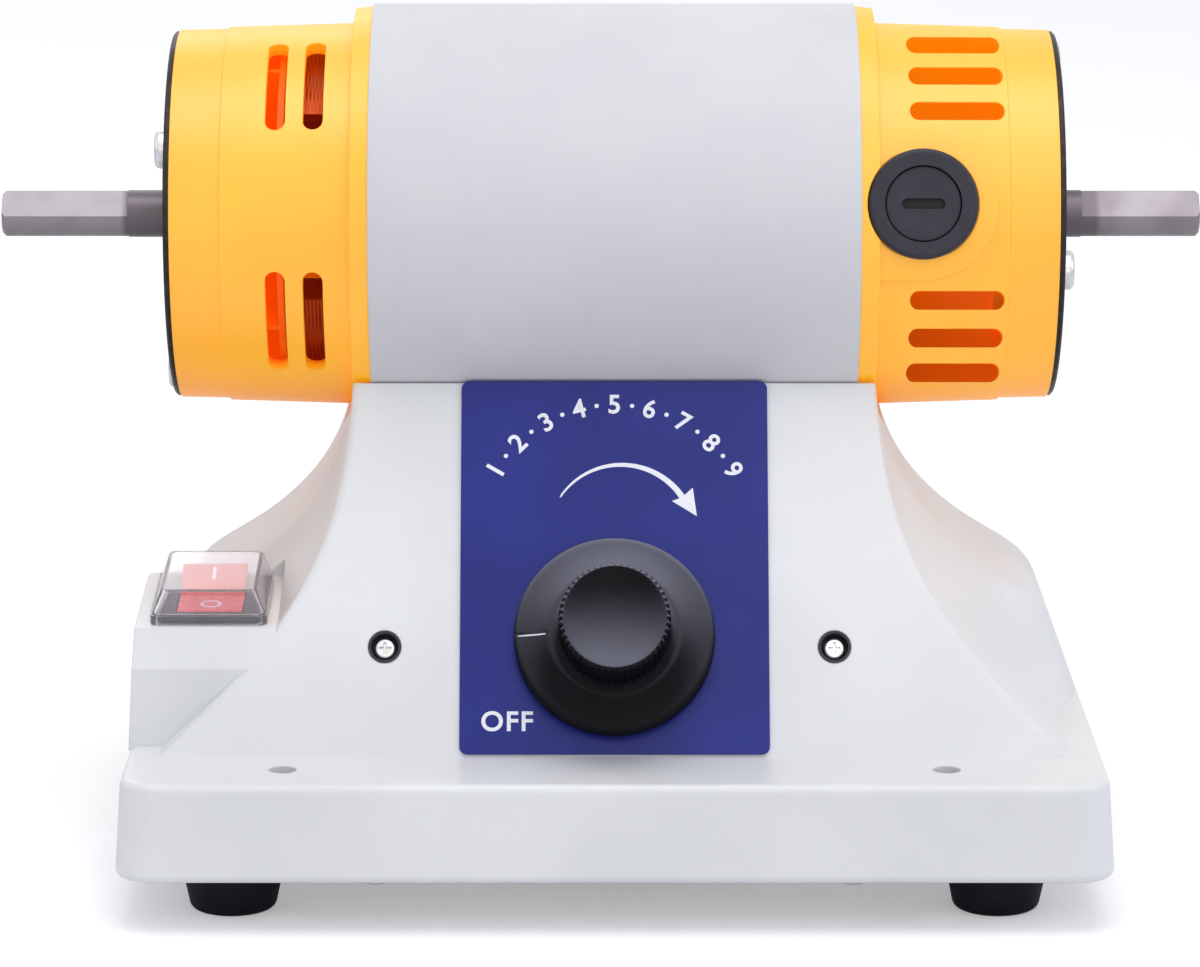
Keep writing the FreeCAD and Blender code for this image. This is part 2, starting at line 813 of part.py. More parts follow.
def cap_shell(side):
    """Moulded cup with its spigot, flange and stepped end; side is -1 at the fan and 1 at the brushes."""
    a, b = sleeve_half, cap_end
    spigot_r = sleeve_r - sleeve_wall - fit_gap
    shoulder = a + cap_flange_w
    step = b - cap_step_w
    floor = b - cap_wall
    profile = [(a - cap_spigot, spigot_r), (a, spigot_r), (a, cap_flange_r),
               (shoulder, cap_flange_r - cap_step), (shoulder, cap_r_in), (step, cap_r_out + cap_step),
               (step, cap_r_out), (b, cap_r_out - cap_step / 2), (b, cap_end_ring_r),
               (floor, cap_end_ring_r), (floor, cap_r_out - cap_wall), (shoulder, cap_bore),
               (a, spigot_r - cap_wall), (a - cap_spigot, spigot_r - cap_wall)]
    cap = turned([(side * x, r) for x, r in profile])
    inward = X * -side
    tops, seats = screw_spots(side, floor), screw_spots(side, b)
    bosses = [Part.makeCylinder(end_screw_head_r, end_boss_h, spot, inward) for spot in tops]
    holes = [Part.makeCylinder(end_screw_r, end_screw_len, spot, inward) for spot in seats]
    outside = cyl_x(cap_r_out - cap_step, -b, b)
    return cap.fuse([boss.common(outside) for boss in bosses]).cut(holes)


def brush_pad(angle):
    """Raised round pad, with its bridge to the flange, that a brush holder screws into."""
    frame = brush_frame(angle)
    reach = sleeve_half + cap_step - brush_x
    base = cap_r_in - 2 * cap_wall
    disc = Part.makeCylinder(pad_r, pad_surface, V(0, 0, base))
    bridge = Part.makeBox(-reach, 2 * pad_r, pad_surface, V(reach, -pad_r, base))
    limit = cyl_x(pad_surface, sleeve_half + cap_step, brush_x + pad_r + past)
    hollow = cyl_x(cap_bore - cap_step, sleeve_half, cap_end - cap_wall)
    pad = placed(disc.fuse(bridge), frame).common(limit).cut(hollow)
    return pad.fuse(placed(Part.makeCylinder(boss_r, cap_bore - boss_inner, V(0, 0, boss_inner)), frame))


def right_end_cap():
    cap = cap_shell(1)
    for angle in brush_angles:
        frame = brush_frame(angle)
        seat = Part.makeCylinder(holder_flange_r + fit_gap, past, V(0, 0, holder_seat))
        bore_start = boss_inner - past
        bore = Part.makeCylinder(holder_barrel_r, pad_surface + past - bore_start, V(0, 0, bore_start))
        cap = cap.fuse(brush_pad(angle)).cut([placed(seat, frame), placed(bore, frame)])
    return cap.cut(air_slots())


def fan_slots():
    """Slots round the fan end, two columns above and below the middle, front and rear."""
    low, high = slot_left_angles
    half = slot_left_w / 2
    ease = math.degrees(half / cap_r_in)
    r0, r1 = cap_r_in - 3 * cap_wall, cap_r_in + cap_wall
    cuts = []
    for x in slot_left_x:
        for turn in (0, 180):
            for sign in (-1, 1):
                ends = sorted(left_cap_turn + turn + sign * a for a in (low + ease, high - ease))
                body = sector_x(r0, r1, -x - half, -x + half, *ends)
                cuts.append(body.fuse([spoke(half, r0, r1, -x, a) for a in ends]))
    return cuts


def air_slots():
    """Slots in the front of the brush end, cut along the brush axis."""
    corner = slot_right_h * 0.49
    cuts = []
    for offset in slot_right_z:
        for sign in (-1, 1):
            wire = rounded_rect(slot_right_len, slot_right_h, corner, 0.0, slot_right_x - brush_x,
                                sign * offset)
            cuts.append(placed(slab(wire, cap_flange_r), brush_frame(assembly_turn)))
    return cuts


def end_plate(side):
    """Steel disc with the bearing cup drawn in its middle."""
    a, b = cap_end, plate_face
    cup_r = bearing_r + end_plate_t
    cup_end = a - bearing_w - bearing_float
    edge = end_plate_t / 3
    profile = [(b, plate_hole_r), (b, end_plate_r - edge), (b - edge, end_plate_r), (a, end_plate_r),
               (a, cup_r), (cup_end, cup_r), (cup_end, bearing_r), (a, bearing_r), (a, plate_hole_r)]
    plate = turned([(side * x, r) for x, r in profile])
    hole_r = end_screw_r + fit_gap
    starts = screw_spots(side, b + past)
    return plate.cut([Part.makeCylinder(hole_r, 2 * past, spot, X * -side) for spot in starts])


def casing_group():
    pieces["motor_sleeve"] = motor_sleeve()
    pieces["left_end_cap"] = cap_shell(-1).cut(fan_slots())
    pieces["right_end_cap"] = right_end_cap()
    pieces["left_end_plate"] = end_plate(-1)
    pieces["right_end_plate"] = end_plate(1)
    screw = pan_head(end_screw_head_r, end_screw_head_h, end_screw_r, end_screw_len, end_screw_slot)
    seats = [(side, spot) for side in (-1, 1) for spot in screw_spots(side, plate_face)]
    pieces["end_plate_screws"] = group(placed(screw, along(X * side, spot)) for side, spot in seats)
    seat = saddle_r + wall
    bolt_len = seat - sleeve_r + sleeve_wall + cradle_bolt_grip
    bolt = pan_head(cradle_head_r, cradle_head_h, cradle_bolt_r, bolt_len)
    spots = [(radial(a), motor_axis + X * x + radial(a) * seat) for x, a in cradle_spots]
    pieces["cradle_bolts"] = group(placed(bolt, along(out, spot)) for out, spot in spots)


# --- field -----------------------------------------------------------------------------------------------
def stator_core():
    """Laminated two-pole core: a ring with a window each side and a mouth where the pole tips end."""
    outer_r = sleeve_r - sleeve_wall
    x0, x1 = -core_left - past, core_right + past
    tapped = outer_r - cradle_bolt_grip - fit_gap
    cuts = [spoke(cradle_bolt_r, tapped, outer_r + past, x, a) for x, a in cradle_spots]
    for angle in brush_angles:
        window = 90 - slot_half_angle
        mouth = 90 - pole_half_angle
        cuts.append(sector_x(pole_tip_r, yoke_inner, x0, x1, angle - window, angle + window))
        cuts.append(sector_x(pole_bore - past, pole_tip_r + fit_gap, x0, x1, angle - mouth, angle + mouth))
    return ring_x(outer_r, pole_bore, -core_left, core_right).cut(cuts)


def field_coil(pole):
    """Saddle coil round one pole: two runs in the windows and an arch past each end of the core."""
    span = slot_half_angle + coil_angle
    x0, x1 = -core_left - coil_over_left, core_right + coil_over_right
    block = sector_x(pole_tip_r + coil_gap, yoke_inner, x0, x1, pole - span, pole + span)
    eye = sector_x(pole_tip_r - past, yoke_inner + past, -core_left - coil_gap, core_right + coil_gap,
                   pole - slot_half_angle, pole + slot_half_angle)
    return block.cut(eye)


def field_group():
    pieces["stator_core"] = stator_core()
    pieces["upper_field_coil"] = field_coil(assembly_turn + 90)
    pieces["lower_field_coil"] = field_coil(assembly_turn - 90)


# --- rotor -----------------------------------------------------------------------------------------------
def motor_shaft():
    left, right = -plate_face - left_neck, plate_face + right_neck
    shaft = cyl_x(tool_end_r, shaft_left, shaft_right)
    ends = [e for e in shaft.Edges if e.BoundBox.XLength < 0.01]
    shaft = shaft.makeChamfer(shaft_chamfer, ends)
    shaft = shaft.fuse([cyl_x(shaft_r, left, right), cyl_x(shaft_body_r, -plate_face, plate_face)])
    level = shaft_r - shaft_flat_depth
    w = radial(shaft_flat_angle)
    flats = ((shaft_left - past, left), (right, shaft_right + past))
    for x0, x1 in flats:
        cutter = Part.makeBox(x1 - x0, 4 * shaft_r, past, V(x0, -2 * shaft_r, level))
        shaft = shaft.cut(placed(cutter, frame_at(motor_axis, X, w.cross(X), w)))
    return shaft


def spoke_frames(count):
    """Frames on the shaft axis whose z points to each of a ring of even places."""
    directions = [radial(k * 360 / count) for k in range(count)]
    return [frame_at(motor_axis, X, w.cross(X), w) for w in directions]


def armature_core():
    x0, x1 = armature_left, armature_right
    floor = winding_r - slot_depth
    start, length = x0 - past, x1 - x0 + 2 * past
    slot = Part.makeBox(length, slot_w, slot_depth, V(start, -slot_w / 2, floor))
    mouth = Part.makeBox(length, slot_mouth, past, V(start, -slot_mouth / 2, winding_r - fit_gap))
    cutters = [placed(slot.fuse(mouth), f) for f in spoke_frames(armature_slots)]
    return ring_x(armature_r, shaft_body_r, x0, x1).cut(cutters)


def armature_winding():
    """Copper in the slots and the two crowns of end turns."""
    x0, x1 = armature_left, armature_right
    left, right = x0 - winding_over, x1 + winding_over
    crown = winding_crown
    near_fan = turned([(left, shaft_body_r), (left, winding_r - crown), (left + crown, winding_r),
                       (x0, winding_r), (x0, shaft_body_r)])
    near_bars = turned([(x1, shaft_body_r), (x1, winding_r), (right - crown, winding_r),
                        (right, commutator_r), (right, shaft_body_r)])
    bar = Part.makeBox(x1 - x0, slot_w, slot_depth, V(x0, -slot_w / 2, winding_r - slot_depth))
    return near_fan.fuse([near_bars] + [placed(bar, f) for f in spoke_frames(armature_slots)])


def commutator():
    """Copper bars with a riser at the winding end, one solid for each bar."""
    a, b = brush_x - commutator_w / 2, brush_x + commutator_w / 2
    pitch = 360 / commutator_bars
    bars = []
    for k in range(commutator_bars):
        a0 = k * pitch + commutator_gap_deg / 2
        a1 = (k + 1) * pitch - commutator_gap_deg / 2
        bar = sector_x(commutator_hub_r, commutator_r, a, b, a0, a1)
        riser = sector_x(commutator_hub_r, commutator_r + riser_h, a, a + riser_w, a0, a1)
        bars.append(bar.fuse(riser).removeSplitter())
    return group(bars)


def cooling_fan():
    a, b = -fan_left, -fan_left + fan_w
    hub = ring_x(fan_hub_r, shaft_body_r, a, b)
    root = fan_hub_r - fan_disc_t
    disc = ring_x(fan_r, root, b - fan_disc_t, b)
    blade = Part.makeBox(fan_w, fan_blade_t, fan_r - root, V(a, -fan_blade_t / 2, root))
    return hub.fuse([disc] + [placed(blade, f) for f in spoke_frames(fan_blades)])


def bearing_parts():
    """Outer rings, inner rings, balls and circlips of the two shaft bearings."""
    parts = {"outer_rings": [], "inner_rings": [], "balls": [], "circlips": []}
    track = (bearing_outer_in_r + bearing_inner_r) / 2
    for side in (-1, 1):
        x0, x1 = sorted((side * (cap_end - bearing_w), side * cap_end))
        centre = motor_axis + X * (x0 + x1) / 2
        outer_track = Part.makeTorus(track, ball_r + running_gap, centre, X)
        inner_track = Part.makeTorus(track, ball_r, centre, X)
        parts["outer_rings"].append(ring_x(bearing_r, bearing_outer_in_r, x0, x1).cut(outer_track))
        parts["inner_rings"].append(ring_x(bearing_inner_r, shaft_body_r, x0, x1).cut(inner_track))
        for k in range(ball_count):
            parts["balls"].append(Part.makeSphere(ball_r, centre + radial(k * 360 / ball_count) * track))
        c0, c1 = sorted((side * (cap_end - bearing_w), side * (cap_end - bearing_w - circlip_w)))
        parts["circlips"].append(ring_x(circlip_r, shaft_body_r, c0, c1))
    return parts


def rotor_group():
    pieces["motor_shaft"] = motor_shaft()
    pieces["armature_core"] = armature_core()
    pieces["armature_winding"] = armature_winding()
    half = commutator_w / 2 + commutator_lip
    pieces["commutator_hub"] = ring_x(commutator_hub_r, shaft_body_r, brush_x - half, brush_x + half)
    pieces["commutator"] = commutator()
    pieces["cooling_fan"] = cooling_fan()
    for name, shapes in bearing_parts().items():
        pieces["bearing_" + name] = group(shapes)


# --- brush gear ------------------------------------------------------------------------------------------
def brush_holder():
    flange = Part.makeCylinder(holder_flange_r, holder_face - holder_seat, V(0, 0, holder_seat))
    rim = [e for e in flange.Edges if e.BoundBox.ZMin > holder_face - 0.01]
    barrel = Part.makeCylinder(holder_barrel_r, holder_seat - holder_inner, V(0, 0, holder_inner))
    room = 2 * brush_clear
    channel = box_at(0, 0, holder_inner, brush_w + room, brush_t + room, stub_end - holder_inner)
    stub = Part.makeCylinder(cap_stub_r, cap_stub_len, V(0, 0, stub_end))
    head = Part.makeCylinder(holder_cap_r + brush_clear, cap_thickness + past, V(0, 0, cap_seat))
    return flange.makeFillet(holder_edge_r, rim).fuse(barrel).cut([channel, stub, head])


def brush_cap():
    head = Part.makeCylinder(holder_cap_r, cap_thickness, V(0, 0, cap_seat))
    head = head.makeFillet(cap_edge_r, [e for e in head.Edges if e.BoundBox.ZMin > cap_face - 0.01])
    outline = rounded_rect(coin_slot_len, coin_slot_w, coin_slot_w * 0.49, cap_face - coin_slot_depth)
    slot = slab(outline, past)
    return head.fuse(Part.makeCylinder(cap_stub_r, cap_stub_len, V(0, 0, stub_end))).cut(slot)


def carbon_brush():
    """Carbon block whose foot is hollowed to the commutator, with a running gap."""
    block = box_at(0, 0, commutator_r / 2, brush_w, brush_t, brush_top - commutator_r / 2)
    top = [e for e in block.Edges if e.BoundBox.ZMin > brush_top - 0.01]
    hollow = Part.makeCylinder(commutator_r + brush_air, 2 * brush_w, V(-brush_w, 0, 0), X)
    return block.makeChamfer(brush_chamfer, top).cut(hollow)


def brush_spring():
    height = stub_end - brush_top - 2 * spring_wire_r
    helix = Part.makeHelix(height / spring_coils, height, spring_r)
    section = Part.Wire(Part.makeCircle(spring_wire_r, V(spring_r, 0, 0), V(0, 1, 0)))
    coil = Part.Wire(helix).makePipeShell([section], True, True)
    return coil.translated(V(0, 0, brush_top + spring_wire_r))


def brush_group():
    gear = {"brush_holder": brush_holder(), "brush_cap": brush_cap(), "brush": carbon_brush(),
            "brush_spring": brush_spring()}
    for name, angle in zip(("front", "rear"), brush_angles):
        for piece, shape in gear.items():
            pieces[name + "_" + piece] = placed(shape, brush_frame(angle))


# --- controls --------------------------------------------------------------------------------------------
def front_panel():
    middle = (panel_top + panel_bottom) / 2
    wire = rounded_rect(2 * panel_half, panel_bottom - panel_top, panel_corner, 0.0, 0.0, -middle)
    hole = Part.makeCylinder(pot_bush_r + fit_gap / 2, panel_t, V(0, -knob_s, 0))
    return placed(slab(wire, panel_t).cut(hole), front_face)


def knob_profile():
    """Half section of the knob: skirt, cone, grip, hollow underside and hub."""
    top = knob_base + knob_h
    roof = pot_shaft_out + knob_wall
    inner_grip_r = knob_grip_r - knob_wall - knurl_depth
    rim = knob_base + knob_rim
    inner_skirt_r = knob_skirt_r - knob_wall
    return [(knob_skirt_r, knob_base), (knob_skirt_r, rim), (knob_cone_r, knob_cone),
            (knob_grip_r, knob_cone + knob_top_step), (knob_grip_r, top - knob_edge),
            (knob_grip_r - knob_edge, top), (knob_grip_r - knob_top_rim, top), (0.0, top - knob_top_step),
            (0.0, pot_shaft_out), (pot_shaft_r, pot_shaft_out), (pot_shaft_r, knob_hub_z),
            (knob_hub_r, knob_hub_z), (knob_hub_r, roof), (inner_grip_r, roof), (inner_grip_r, knob_cone),
            (knob_cone_r - knob_wall, knob_cone - knob_wall), (inner_skirt_r, rim - knob_wall / 2),
            (inner_skirt_r, knob_base)]


def knurl_cutter():
    """Ring that leaves a fluted grip."""
    start = knob_cone + knurl_start
    count = 2 * knob_knurls
    star = []
    for k in range(count):
        r = knob_grip_r - knurl_depth * (k % 2)
        star.append(V(r * math.cos(2 * math.pi * k / count), r * math.sin(2 * math.pi * k / count), start))
    core = Part.Face(Part.makePolygon(star + star[:1])).extrude(V(0, 0, knob_h))
    return Part.makeCylinder(knob_grip_r + past, knob_h, V(0, 0, start)).cut(core)


def pointer_groove():
    """Slot along the cone at nine o'clock that holds the white pointer line."""
    fall = (knob_cone - knob_base - knob_rim) / (knob_skirt_r - knob_cone_r)
    r0, r1 = knob_skirt_r + past, knob_cone_r + pointer_depth
    z0 = knob_cone - fall * (r0 - knob_cone_r) - pointer_depth
    z1 = knob_cone - fall * (r1 - knob_cone_r) - pointer_depth
    line = [V(-r0, -pointer_w / 2, z0), V(-r1, -pointer_w / 2, z1), V(-r1, -pointer_w / 2, z1 + past),
            V(-r0, -pointer_w / 2, z0 + past)]
    return Part.Face(Part.makePolygon(line + line[:1])).extrude(V(0, pointer_w, 0))


def speed_knob():
    access = Part.makeCylinder(set_screw_r, knob_grip_r + past, V(0, 0, set_screw_z), V(0, 1, 0))
    return lathe(knob_profile()).cut([knurl_cutter(), pointer_groove(), access])


def speed_pot():
    """Potentiometer can with its threaded bush and three legs."""
    can = Part.makeCylinder(pot_body_r, pot_body_h, V(0, 0, bracket_back - pot_body_h))
    bush = Part.makeCylinder(pot_bush_r, pot_bush_out - bracket_back, V(0, 0, bracket_back))
    leg = box_at(0, -pot_body_r, bracket_back - pot_body_h / 2, pot_leg_w, pot_leg_len, pot_leg_t)
    legs = [leg.translated(V(k * pot_leg_pitch, 0, 0)) for k in (-1, 0, 1)]
    tail = bracket_back - pot_tail
    bore = Part.makeCylinder(pot_shaft_r + running_gap, pot_bush_out - tail, V(0, 0, tail))
    return can.fuse([bush] + legs).cut(bore)


def knob_group():
    pieces["front_panel"] = front_panel()
    cup_floor = cup_wall - cup_depth
    cup = Part.makeCylinder(cup_r, cup_depth + cup_proud, V(0, 0, -cup_depth))
    cup = cup.cut([Part.makeCylinder(cup_r - cup_wall, cup_depth + past, V(0, 0, cup_floor)),
                   Part.makeCylinder(cup_screw_r, cup_depth, V(0, 0, -cup_depth))])
    screw_len = cup_floor - bracket_back + front_screw_out
    screw = pan_head(cup_head_r, cup_head_h, cup_screw_r, screw_len, cup_slot)
    pieces["front_screw_cups"] = group(on_front(cup, x, cup_s) for x in cup_spots)
    pieces["front_screws"] = group(on_front(screw, x, cup_s, cup_floor) for x in cup_spots)
    bracket = slab(rounded_rect(2 * bracket_half, bracket_h, bracket_corner, 0.0), bracket_t)
    holes = [Part.makeCylinder(cup_screw_r, bracket_t, V(x, knob_s - cup_s, 0)) for x in cup_spots]
    holes.append(Part.makeCylinder(pot_bush_r, bracket_t))
    pieces["control_bracket"] = on_front(bracket.cut(holes), 0.0, knob_s, bracket_back)
    pieces["speed_pot"] = on_front(speed_pot(), 0.0, knob_s)
    pieces["pot_nut"] = on_front(nut(pot_nut_af, pot_nut_h, pot_bush_r), 0.0, knob_s, panel_t)
    tail = bracket_back - pot_tail + running_gap
    spindle = Part.makeCylinder(pot_shaft_r, pot_shaft_out - tail, V(0, 0, tail))
    pieces["pot_shaft"] = on_front(spindle, 0.0, knob_s)
    pieces["speed_knob"] = on_front(speed_knob(), 0.0, knob_s)
    grub = Part.makeCylinder(set_screw_r, set_screw_len, V(0, pot_shaft_r, set_screw_z), V(0, 1, 0))
    slot_y = pot_shaft_r + set_screw_len
    slot = box_at(0, slot_y, set_screw_z - set_slot / 2, 4 * set_screw_r, 2 * set_slot, set_slot)
    pieces["knob_set_screw"] = on_front(grub.cut(slot), 0.0, knob_s)


def switch_body():
    frame = slab(rounded_rect(flange_w, flange_l, flange_corner, 0.0), flange_t)
    frame = frame.makeFillet(flange_edge_r, [e for e in frame.Edges if e.BoundBox.ZMin > flange_t - 0.01])
    case = box_at(0, 0, -switch_body_h, switch_body_w, switch_body_l, switch_body_h)
    well = box_at(0, 0, -switch_body_h / 2, rocker_open_w, 2 * rocker_open_half, switch_body_h)
    pin_span = rocker_w + 2 * pin_len + 4 * running_gap
    pin_hole = Part.makeCylinder(pin_r + running_gap, pin_span, V(-pin_span / 2, 0, rocker_pivot), X)
    return frame.fuse(case).cut([well, pin_hole])


def switch_rocker():
    """Rocker about its pivot, near side pressed down."""
    dip = rocker_half * math.tan(math.radians(rocker_tilt))
    outline = [(-rocker_half, rocker_end_h), (0.0, rocker_end_h - dip), (rocker_half, rocker_end_h),
               (rocker_half, rocker_side_low), (rocker_waist, -rocker_belly), (-rocker_waist, -rocker_belly),
               (-rocker_half, rocker_side_low)]
    wire = Part.makePolygon([V(-rocker_w / 2, y, z) for y, z in outline + outline[:1]])
    rocker = Part.Face(wire).extrude(V(rocker_w, 0, 0))
    tips = [e for e in rocker.Edges if e.BoundBox.ZMin > rocker_end_h - 0.01]
    pin_span = rocker_w + 2 * pin_len
    pin = Part.makeCylinder(pin_r, pin_span, V(-pin_span / 2, 0, 0), X)
    rocker = rocker.makeFillet(rocker_edge_r, tips).fuse(pin)
    rocker.rotate(V(0, 0, 0), X, rocker_tilt)
    return rocker


def switch_hood():
    """Clear cover: a straight rim and a canopy that narrows upward, hollow, let over the switch frame."""
    w, l, t = hood_w - 2 * hood_step, hood_l - 2 * hood_step, hood_wall
    rim = slab(rounded_rect(hood_w, hood_l, hood_corner, 0.0), hood_rim_h)
    canopy = Part.makeLoft([rounded_rect(w, l, hood_corner, hood_rim_h),
                            rounded_rect(hood_top_w, hood_top_l, hood_corner, hood_h)], True, True)
    canopy = canopy.makeFillet(hood_edge_r, [e for e in canopy.Edges if e.BoundBox.ZMin > hood_h - 0.01])
    corner = hood_corner - t / 2
    low = rounded_rect(w - 2 * t, l - 2 * t, corner, hood_rim_h)
    high = rounded_rect(hood_top_w - 2 * t, hood_top_l - 2 * t, corner, hood_h - t)
    room = Part.makeLoft([low, high], True, True)
    well = box_at(0, 0, 0, flange_w + 2 * fit_gap, flange_l + 2 * fit_gap, hood_rim_h)
    return rim.fuse(canopy).cut([room, well])


def switch_group():
    pieces["switch_body"] = on_deck(switch_body())
    pieces["switch_rocker"] = on_deck(switch_rocker(), z=rocker_pivot)
    blade = box_at(0, 0, -switch_body_h - blade_len, blade_t, blade_w, blade_len)
    spots = four(blade_dx, blade_dy)
    pieces["switch_terminals"] = group(on_deck(blade, x, y) for x, y in spots)
    pieces["switch_hood"] = on_deck(switch_hood())


# --- rear fittings ---------------------------------------------------------------------------------------
def cord_gland():
    top = gland_flange_h + gland_dome_h
    flange = Part.makeCylinder(gland_flange_r, gland_flange_h)
    thread = Part.makeCylinder(gland_thread_r, gland_thread_len, V(0, 0, -gland_thread_len))
    tip_r = gland_dome_r - gland_dome_taper
    dome = Part.makeCone(gland_dome_r, tip_r, gland_dome_h, V(0, 0, gland_flange_h))
    bore = Part.makeCylinder(gland_bore_r, gland_thread_len + top, V(0, 0, -gland_thread_len))
    return flange.fuse([thread, dome]).cut(bore)


def rear_group():
    pieces["cord_gland"] = on_rear(cord_gland(), gland_x)
    lock_nut = nut(gland_nut_af, gland_nut_h, gland_thread_r).translated(V(0, 0, -wall - gland_nut_h))
    pieces["gland_nut"] = on_rear(lock_nut, gland_x)
    floor = fuse_floor - fuse_body_len
    fuse_top = floor + fuse_len
    body = Part.makeCylinder(fuse_body_r, fuse_body_len, V(0, 0, -fuse_body_len))
    body = body.fuse(Part.makeCylinder(fuse_bezel_r, fuse_bezel_h))
    body = body.cut([Part.makeCylinder(fuse_r, fuse_len, V(0, 0, floor)),
                     Part.makeCylinder(fuse_cap_r, fuse_body_len, V(0, 0, fuse_top))])
    pieces["fuse_holder"] = on_rear(body, fuse_x)
    pieces["fuse"] = on_rear(Part.makeCylinder(fuse_r, fuse_len, V(0, 0, floor)), fuse_x)
    cap = Part.makeCylinder(fuse_cap_r, fuse_cap_h - fuse_top, V(0, 0, fuse_top))
    cap = cap.makeFillet(fuse_cap_edge_r, [e for e in cap.Edges if e.BoundBox.ZMin > fuse_cap_h - 0.01])
    slot = box_at(0, 0, fuse_cap_h - fuse_slot_depth, 2 * fuse_body_r, fuse_slot_w, past)
    pieces["fuse_cap"] = on_rear(cap.cut(slot), fuse_x)


# --- control board ---------------------------------------------------------------------------------------
def heat_sink():
    x, y = board_x + sink_dx, board_y + sink_dy
    pitch = sink_w / sink_fins
    left = x - sink_w / 2
    gap = box_at(left, y + sink_back, board_top + sink_web, pitch / 2, sink_d, sink_h)
    gaps = [gap.translated(V((k + 0.5) * pitch, 0, 0)) for k in range(sink_fins)]
    return box_at(x, y, board_top, sink_w, sink_d, sink_h).cut(gaps)


def power_triac():
    """Power switch clamped to the heat sink, standing on three legs."""
    x = board_x + sink_dx
    y = board_y + sink_dy - (sink_d + triac_d) / 2
    body = box_at(x, y, board_top + leg_h, triac_w, triac_d, triac_h)
    legs = [box_at(x + k * leg_pitch, y, board_top, leg_w, leg_d, leg_h) for k in (-1, 0, 1)]
    return body.fuse(legs)


def board_group():
    dx, dy = board_w / 2 - board_screw_inset, board_d / 2 - board_screw_inset
    spots = [(board_x + x, board_y + y) for x, y in four(dx, dy)]
    board = box_at(board_x, board_y, board_top - board_t, board_w, board_d, board_t)
    holes = [upright(board_screw_r, x, y, plate_top, board_top) for x, y in spots]
    pieces["control_board"] = board.cut(holes)
    post = upright(standoff_r, 0, 0, plate_top, plate_top + standoff_h)
    post = post.cut(upright(board_screw_r, 0, 0, plate_top, plate_top + standoff_h))
    pieces["board_standoffs"] = group(post.translated(V(x, y, 0)) for x, y in spots)
    screw = pan_head(board_head_r, board_head_h, board_screw_r, board_screw_len, board_slot)
    pieces["board_screws"] = group(screw.translated(V(x, y, board_top)) for x, y in spots)
    pieces["heat_sink"] = heat_sink()
    pieces["power_triac"] = power_triac()
    x, y = board_x + capacitor_dx, board_y + capacitor_dy
    capacitor = box_at(x, y, board_top, capacitor_w, capacitor_d, capacitor_h)
    pieces["supply_capacitor"] = capacitor.makeFillet(capacitor_edge_r, capacitor.Edges)
    middle = V(board_x + choke_dx, board_y + choke_dy, board_top + choke_wire_r)
    pieces["filter_choke"] = Part.makeTorus(choke_r, choke_wire_r, middle)


base_group()
casing_group()
field_group()
rotor_group()
brush_group()
knob_group()
switch_group()
rear_group()
board_group()

os.makedirs("parts", exist_ok=True)
for name, shape in pieces.items():
    shape = shape.translated(V(body_x, 0, 0))
    shape.exportStep("parts/" + name + ".step")
    print(name, len(shape.Solids), shape.isValid())
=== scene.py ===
import json
import math

import bmesh
import bpy
from mathutils import Matrix, Vector
from mathutils.bvhtree import BVHTree


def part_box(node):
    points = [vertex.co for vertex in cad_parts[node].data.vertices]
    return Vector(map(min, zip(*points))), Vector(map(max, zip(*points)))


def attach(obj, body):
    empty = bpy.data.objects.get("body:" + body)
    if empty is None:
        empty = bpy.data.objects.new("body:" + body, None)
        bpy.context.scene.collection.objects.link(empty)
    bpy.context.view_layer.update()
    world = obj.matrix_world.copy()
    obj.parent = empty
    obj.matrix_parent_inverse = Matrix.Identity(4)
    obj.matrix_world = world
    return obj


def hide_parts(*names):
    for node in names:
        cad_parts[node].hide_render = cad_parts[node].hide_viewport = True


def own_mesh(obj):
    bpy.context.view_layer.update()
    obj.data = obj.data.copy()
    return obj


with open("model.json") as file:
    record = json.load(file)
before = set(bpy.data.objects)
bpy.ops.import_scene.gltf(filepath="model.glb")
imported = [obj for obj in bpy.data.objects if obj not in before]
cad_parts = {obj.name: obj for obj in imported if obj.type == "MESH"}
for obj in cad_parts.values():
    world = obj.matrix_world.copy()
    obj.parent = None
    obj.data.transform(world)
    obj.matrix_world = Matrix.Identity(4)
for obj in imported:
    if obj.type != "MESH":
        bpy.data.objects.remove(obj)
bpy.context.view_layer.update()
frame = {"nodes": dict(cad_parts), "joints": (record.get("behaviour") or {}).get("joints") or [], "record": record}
mm = 0.001  # sizes below are in mm where nothing else is said
nodes = frame["nodes"]
joints = {joint["name"]: joint for joint in frame["joints"]}
print("frame loaded:", len(nodes), "nodes")

right = Vector((1, 0, 0))
motorAt = Vector(joints["rotor_spin"]["pos_m"])
knobAt = Vector(joints["knob_turn"]["pos_m"])
rockerAt = Vector(joints["rocker_tilt"]["pos_m"])
brushOut = Vector(joints["front_brush_slide"]["axis"]).normalized()
faceOut = -Vector(joints["knob_turn"]["axis"]).normalized()
faceUp = faceOut.cross(right)


def axesAt(origin, u, v, w):  # matrix whose local x, y, z run along u, v, w
    turn = Matrix((u, v, w)).transposed().to_4x4()
    return Matrix.Translation(origin) @ turn


def middleOf(node):
    low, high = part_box(node)
    return (low + high) / 2


# a step of one is a mm on the leaned front, from the knob's middle
onFace = axesAt(knobAt, right, faceUp, faceOut) @ Matrix.Scale(mm, 4)


